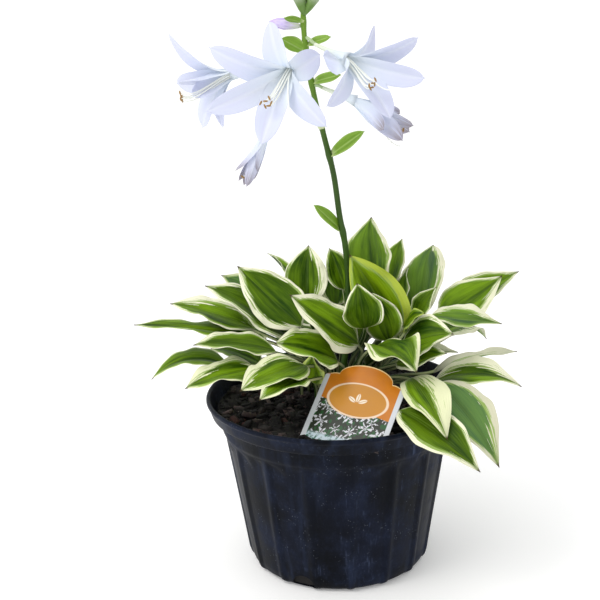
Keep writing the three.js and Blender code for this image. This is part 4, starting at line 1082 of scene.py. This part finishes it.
# stem: foot of the bloom's own stalk. base: the bloom's foot. throat: the mouth of its tube.
# face: where the open flower looks. tips: its six petals. anthers, style: where those end.
BLOOMS = {
    "bloom_front_left": {
        "stem": [-16, 0, 412], "base": [-22, -9, 410], "throat": [-30, -40, 404], "width": 21,
        "face": [-0.3, -0.88, -0.3], "anthers": [-44, -66, 386], "style": [-28, -74, 379],
        "tips": [[-42, -26, 440], [-85, -46, 424], [-88, -58, 380],
                 [-49, -62, 356], [-2, -58, 367], [-6, -32, 416]],
    },
    "bloom_left": {
        "stem": [-16, 2, 407], "base": [-24, 6, 407], "throat": [-75, 8, 400], "width": 19,
        "face": [-0.75, -0.45, -0.35], "anthers": [-111, -12, 385], "style": [-131, -8, 382],
        "tips": [[-120, 4, 431], [-113, -10, 396], [-103, -6, 384],
                 [-99, 14, 358], [-83, 12, 358], [-118, 20, 392]],
    },
    "bloom_hanging": {
        "stem": [-15, 1, 404], "base": [-24, 6, 394], "throat": [-47, -2, 359], "width": 9.5,
        "face": [-0.4, -0.25, -0.88], "anthers": [-65, -12, 322], "style": [-75, -16, 329],
        "tips": [[-72, -18, 330], [-64, -22, 318], [-71, -8, 320],
                 [-61, -4, 319], [-56, -14, 328], [-67, -12, 317]],
    },
    "bloom_right": {
        "stem": [-17, 0, 426], "base": [-10, -6, 421], "throat": [15, -22, 410], "width": 20,
        "face": [0.6, -0.72, -0.35], "anthers": [31, -50, 395], "style": [46, -53, 392],
        "tips": [[65, -32, 426], [69, -44, 398], [35, 8, 432],
                 [-4, -13, 413], [-2, -54, 381], [44, -46, 370]],
    },
    "bloom_right_low": {
        "stem": [-11, 2, 390], "base": [-5, 1, 388], "throat": [20, -3, 378], "width": 15,
        "face": [0.7, -0.45, -0.55], "anthers": [55, -10, 356], "style": [53, -10, 344],
        "tips": [[63, -10, 359], [54, -22, 350], [61, 6, 352],
                 [54, 10, 366], [40, -24, 359], [56, 0, 352]],
    },
}


def smooth_line(points, count):
    """count points on a curve through all the given ones, each stretch a cubic whose end
    directions follow the neighbours."""
    p = np.array(points, float)
    p = np.concatenate([[2 * p[0] - p[1]], p, [2 * p[-1] - p[-2]]])
    x = np.linspace(0, len(points) - 1, count)
    i = np.minimum(x.astype(int), len(points) - 2)
    f = (x - i)[:, None]
    a, b, c, d = p[i], p[i + 1], p[i + 2], p[i + 3]
    return b + f / 2 * (c - a + f * (2 * a - 5 * b + 4 * c - d + f * (3 * (b - c) + d - a)))


def tube(line, radii, sides, kind, number=0.0):
    """A round rod along a line, each ring square to the way there, its start direction
    carried along without a twist. Marks: (cosine of the angle
    round it, share along, kind) and (a number of its own, 0, 0)."""
    line = np.asarray(line, float)
    along = unit(np.gradient(line, axis=0))
    guide = np.eye(3)[np.argmin(np.abs(along[0]))]
    sides_way = []
    for way in along:
        guide = unit(guide - way * (guide @ way))
        sides_way.append(guide)
    side = np.array(sides_way)
    up = np.cross(along, side)
    angle = np.arange(sides) * 2 * np.pi / sides
    radii = np.broadcast_to(radii, len(line))[:, None, None]
    ring = np.cos(angle)[None, :, None] * side[:, None] + np.sin(angle)[None, :, None] * up[:, None]
    share = np.linspace(0, 1, len(line))[:, None] * np.ones(sides)
    marks = np.stack([np.cos(angle) * np.ones((len(line), 1)), share, np.full(share.shape, kind)], -1)
    tint = np.broadcast_to([number, 0.0, 0.0], marks.shape)
    return skin(line[:, None] + radii * ring), [marks.reshape(-1, 3), tint.reshape(-1, 3)]


def petal_surface(curve, sideways, roll, width, thick, kind, number, shape, cup, base, sizes):
    """A thin petal or bract along a curve of four points. Its half width follows shape, and
    is at least base at the foot; its edges are lifted by cup, a share of that width at the
    foot and one at the tip. sizes counts its rows and the points across it. Marks: (u, share
    along, kind) and (a number of its own, 0, 0)."""
    rows, columns = sizes
    t = np.linspace(0, 1, rows)
    line, along = bezier(*curve, t)
    side, normal = rolled_axes(along, sideways, roll)
    half = width / 2 * blade_shape(np.clip(t + 0.03, 0, 0.9985), *shape)
    half = np.maximum(half, base * (1 - t) ** 1.5 + 0.35)[:, None]
    u = np.sin(np.linspace(-1, 1, columns) * 1.2) / np.sin(1.2)
    foot_cup, tip_cup = cup
    share = (foot_cup + (tip_cup - foot_cup) * t)[:, None]
    lift = share * half * (0.55 * u ** 2 + 0.45 * np.sqrt(u ** 2 + 0.01))
    lift = lift + 0.07 * half * np.sin(np.pi * np.abs(u))
    wave = np.sin(2 * np.pi * (1.7 * t[:, None] + number * 0.31 + (u < 0) * 0.4))
    lift = lift + 0.06 * half * np.sin(np.pi * t)[:, None] * np.abs(u) ** 2 * wave
    middle = line[:, None] + (u * half)[..., None] * side[:, None] + lift[..., None] * normal[:, None]
    swell = (thick / 2 * np.sqrt(np.maximum(1 - 0.9 * u ** 2, 0.1)))[None, :, None] * normal[:, None]
    rings = np.concatenate([middle + swell, (middle - swell)[:, ::-1]], 1)
    place = np.stack(np.broadcast_arrays(u[None, :], t[:, None], kind), -1)
    place = np.concatenate([place, place[:, ::-1]], 1)
    tint = np.broadcast_to([number, 0.0, 0.0], place.shape)
    return skin(rings), [place.reshape(-1, 3), tint.reshape(-1, 3)]


def bud_surface(start, tip, radius, kind, number):
    """A closed bud: a tube whose radius swells to the middle and draws in to a blunt tip."""
    t = np.linspace(0, 1, 26)
    line = np.array(start, float) + (np.array(tip, float) - start) * t[:, None]
    swell = np.interp(t, [0, 0.2, 0.5, 0.75, 0.92, 1], [0.36, 0.7, 1, 0.78, 0.36, 0.08])
    return tube(line, swell * radius, 24, kind, number)


def gathered(shapes):
    """Several skins as one, and their two marks by name."""
    points, quads = joined([shape[0] for shape in shapes])
    marks = [np.concatenate([shape[1][i] for shape in shapes]) for i in range(2)]
    return points, quads, dict(zip(("part_place", "part_tint"), marks))


def kind_from(tree, kind, first):
    """1 on a kind of surface and on those counted after it, 0 on those before it."""
    return step(tree, kind, first - 0.6, first - 0.4)


# Kinds of surface on the scape.
STEM, BRACT, STALK, BUD, PALE_RING = range(5)
STEM_ROWS = 150
foot = feet[-1]
stem_points = [[foot[0], foot[1], FOOT_BOTTOM], [foot[0], foot[1], FOOT_TOP]] + SCAPE_POINTS
stem_line = smooth_line(stem_points, STEM_ROWS)
stem_radii = np.linspace(SCAPE_FOOT_RADIUS, SCAPE_TOP_RADIUS, STEM_ROWS)
for start, _, _, _ in BRACTS:
    stem_radii = stem_radii + 0.45 * np.exp(-((stem_line[:, 2] - start[2]) / 4) ** 2)
shapes = [tube(stem_line, stem_radii, 24, STEM)]
for number, (start, tip, width, roll) in enumerate(BRACTS):
    start, tip = np.array(start, float), np.array(tip, float)
    lead = unit(tip - start)
    length = np.linalg.norm(tip - start)
    curve = (start, start + lead * 0.32 * length, start + (tip - start) * 0.72 + lead * 0.12 * length, tip)
    sideways = np.cross(unit([lead[0], lead[1], 0]), UP)
    shapes.append(petal_surface(curve, sideways, roll, width, 0.9, BRACT, number,
                                (0.8, 0.9), (0.45, 0.2), 1.2, (30, 21)))
for one in [*BLOOMS.values(), BUD_LEFT]:
    start, end = np.array(one["stem"], float), np.array(one["base"], float)
    middle = (start + end) / 2 + UP * 0.6
    line = smooth_line([start, middle, end], 14)
    shapes.append(tube(line, np.linspace(1.35, 1.25, 14), 14, STALK))
for number, (start, tip, radius) in enumerate(TOP_BUDS):
    shapes.append(bud_surface(start, tip, radius, BUD, number))
ring_line = smooth_line(stem_line[np.abs(stem_line[:, 2] - RING_HEIGHT) < 3.2], 9)
ring_radii = np.array([2.4, 2.9, 3.1, 3.15, 3.1, 3.15, 3.1, 2.9, 2.4])
shapes.append(tube(ring_line, ring_radii, 24, PALE_RING))

scape_finish, tree, shader = new_material("scape_tissue", 0.42)
shader.inputs["Specular IOR Level"].default_value = 0.3
across, along, kind = point_values(tree, "part_place")
own_number, _, _ = point_values(tree, "part_tint")
off_middle = calc(tree, "ABSOLUTE", across)
fine, broad, _ = streaked(tree, across, along, own_number, 9.0, 3.0)
_, long_drawn, _ = streaked(tree, across, along, own_number, 6.0, 30.0)
stem_height = node(tree, "ShaderNodeSeparateXYZ", {0: object_place(tree)}).outputs[2]
stem_high = step(tree, stem_height, 0.33, 0.42)
stem_dark = blend(tree, stem_high, srgb(20, 44, 4), srgb(78, 116, 14))
stem_light = blend(tree, stem_high, srgb(66, 102, 22), srgb(132, 168, 56))
stem_green = blend(tree, long_drawn, stem_dark, stem_light)
bract_green = blend(tree, broad, srgb(84, 126, 8), srgb(148, 186, 66))
bract_rib = times(tree, step(tree, off_middle, 0.16, 0.04), 0.5)
bract_green = blend(tree, bract_rib, bract_green, srgb(172, 200, 116))
bract_edge = times(tree, step(tree, off_middle, 0.8, 0.95), 0.45)
bract_green = blend(tree, bract_edge, bract_green, srgb(190, 210, 140))
bract_green = blend(tree, step(tree, along, 0.22, 0.0), bract_green, srgb(196, 210, 150))
stalk_colour = blend(tree, broad, srgb(150, 178, 116), srgb(206, 220, 184))
bud_colour = blend(tree, step(tree, along, 0.25, 0.8), srgb(104, 136, 66), srgb(206, 210, 196))
colour = blend(tree, kind_from(tree, kind, BRACT), stem_green, bract_green)
colour = blend(tree, kind_from(tree, kind, STALK), colour, stalk_colour)
colour = blend(tree, kind_from(tree, kind, BUD), colour, bud_colour)
colour = blend(tree, kind_from(tree, kind, PALE_RING), colour, srgb(204, 214, 172))
tree.links.new(colour, shader.inputs["Base Color"])
bump(tree, shader, fine, 0.2, 0.7)

points, quads, marks = gathered(shapes)
scape = mesh_object("stem_with_bracts", points, quads, scape_finish, marks)
fit_piece(scape, "scape_tissue", "flower_scape")

# Blooms
# Five open lily-like flowers: a slim tube widens into six petals, with white filaments that
# curve up to brown anthers and one longer style. A lilac bud stands left of the tip.
FILAMENTS = 6
TUBE_SIDES = 36
WITHERED = ["bloom_hanging", "bloom_right_low"]
BROWNED = 0.8
# Kinds of surface on a bloom.
PETAL, FILAMENT, ANTHER = range(3)


def bloom_surfaces(bloom, number):
    """The tube turned about its axis, outside and in; six petals that leave its mouth along
    the axis and bend to their tips; filaments and the style, which sag and then curve up."""
    base, throat, face = (np.array(bloom[key], float) for key in ("base", "throat", "face"))
    tips, anthers = np.array(bloom["tips"], float), np.array(bloom["anthers"], float)
    axis, face = unit(throat - base), unit(face)
    length = np.linalg.norm(throat - base)
    mouth = 0.3 * bloom["width"]
    profile = np.array([
        [0, 1.4], [0.15, 1.5], [0.35, 1.8], [0.55, 2.5], [0.7, 0.58 * mouth], [0.84, 0.78 * mouth],
        [1.0, mouth], [0.99, mouth - 0.6], [0.84, 0.7 * mouth], [0.68, 0.4 * mouth], [0.6, 0.4],
    ])
    line = base + axis * (profile[:, [0]] * length)
    guide = unit(np.cross(UP, axis))
    other = np.cross(axis, guide)
    angle = np.arange(TUBE_SIDES) * 2 * np.pi / TUBE_SIDES
    ring = np.cos(angle)[:, None] * guide + np.sin(angle)[:, None] * other
    rings = line[:, None] + profile[:, 1][:, None, None] * ring
    share = np.minimum(profile[:, [0]], 1) - 1
    place = np.stack(np.broadcast_arrays(np.cos(angle * 6), share, PETAL), -1)
    tint = np.broadcast_to([number, 0.0, 0.0], place.shape)
    shapes = [(skin(rings), [place.reshape(-1, 3), tint.reshape(-1, 3)])]
    for k, tip in enumerate(tips):
        out = tip - throat
        out = unit(out - face * (out @ face))
        foot = throat - axis * 0.8 * mouth + out * (0.62 + 0.1 * (k % 2)) * mouth
        reach = np.linalg.norm(tip - foot)
        lead = unit(axis + face)
        curve = (foot, foot + lead * 0.36 * reach, foot + (tip - foot) * 0.72 + lead * 0.14 * reach, tip)
        wide = bloom["width"] * (1.0 if k % 2 else 0.92)
        shapes.append(petal_surface(curve, np.cross(out, face), 0, wide, 0.6, PETAL, number * 6 + k,
                                    (0.8, 0.7), (0.7, 0.12), 0.6 * mouth, (48, 29)))
    for k in range(FILAMENTS + 1):
        turn = 2 * np.pi * k / FILAMENTS
        fan = guide * np.cos(turn) + other * np.sin(turn)
        spread = 3.2 + 1.6 * np.sin(2.4 * k)
        end = anthers + fan * spread if k < FILAMENTS else np.array(bloom["style"], float)
        start = throat - axis * mouth + fan * 0.3 * mouth
        reach = np.linalg.norm(end - start)
        sag = start + (end - start) * 0.72 - UP * 0.2 * reach
        lift_off = start + unit(axis + face) * 0.4 * reach
        line = bezier(start, lift_off, sag, end, np.linspace(0, 1, 26))[0]
        shapes.append(tube(line, np.linspace(0.62, 0.42, 26), 10, FILAMENT, number))
        if k < FILAMENTS:
            way = unit(line[-1] - line[-2])
            across = unit(np.cross(way, fan) + 0.5 * fan)
            bead = end + across * np.linspace(-1.9, 1.9, 9)[:, None]
            girth = 0.68 * np.sqrt(np.maximum(1 - np.linspace(-1, 1, 9) ** 2, 0.03))
            shapes.append(tube(bead, girth, 12, ANTHER, number))
    return shapes


petal_finish, tree, shader = new_material("petal_tissue", 0.5)
across, along, kind = point_values(tree, "part_place")
own_number, withered, _ = point_values(tree, "part_tint")
fine, broad, _ = streaked(tree, across, along, own_number, 16.0, 2.0)
lilac = blend(tree, step(tree, along, 0.0, 0.75), srgb(222, 230, 235), srgb(203, 204, 229))
lilac = blend(tree, times(tree, broad, 0.6), lilac, srgb(208, 219, 234))
middle_line = step(tree, calc(tree, "ABSOLUTE", across), 0.3, 0.0)
lilac = blend(tree, times(tree, middle_line, 0.3), lilac, srgb(230, 234, 240))
lilac = blend(tree, step(tree, along, -0.15, -0.8), lilac, srgb(226, 232, 214))
browning = times(tree, step(tree, along, 0.5, 0.95), withered)
browning = times(tree, browning, step(tree, broad, 0.3, 0.5))
lilac = blend(tree, browning, lilac, srgb(132, 118, 122))
colour = blend(tree, kind_from(tree, kind, FILAMENT), lilac, srgb(240, 242, 236))
colour = blend(tree, kind_from(tree, kind, ANTHER), colour, srgb(150, 118, 72))
tree.links.new(colour, shader.inputs["Base Color"])
shader.inputs["Specular IOR Level"].default_value = 0.2
# A faint glow in the petals' own colour: painted light that lifts the shade in their throats.
tree.links.new(colour, shader.inputs["Emission Color"])
shader.inputs["Emission Strength"].default_value = 0.09
bump(tree, shader, fine, 0.3, 0.6)

for number, (name, bloom) in enumerate(BLOOMS.items()):
    points, quads, marks = gathered(bloom_surfaces(bloom, number))
    marks["part_tint"][:, 1] = BROWNED if name in WITHERED else 0.0
    piece = mesh_object("open_" + name, points, quads, petal_finish, marks)
    fit_piece(piece, "petal_tissue", name)

bud_finish, tree, shader = new_material("bud_tissue", 0.5)
_, along, _ = point_values(tree, "part_place")
place = node(tree, "ShaderNodeAttribute", attribute_name="part_place").outputs["Vector"]
stripes = use_group(tree, streaks, {"Place": place, "Across": 5.0, "Along": 1.0})
colour = blend(tree, step(tree, along, 0.1, 0.6), srgb(206, 216, 180), srgb(186, 156, 232))
colour = blend(tree, step(tree, stripes["Fine"], 0.45, 0.6), colour, srgb(222, 210, 244))
tree.links.new(colour, shader.inputs["Base Color"])
shape = bud_surface(BUD_LEFT["base"], BUD_LEFT["tip"], BUD_LEFT["radius"], BUD, 1)
points, quads, marks = gathered([shape])
bud = mesh_object("lilac_bud", points, quads, bud_finish, marks)
fit_piece(bud, "bud_tissue", "bud_left")
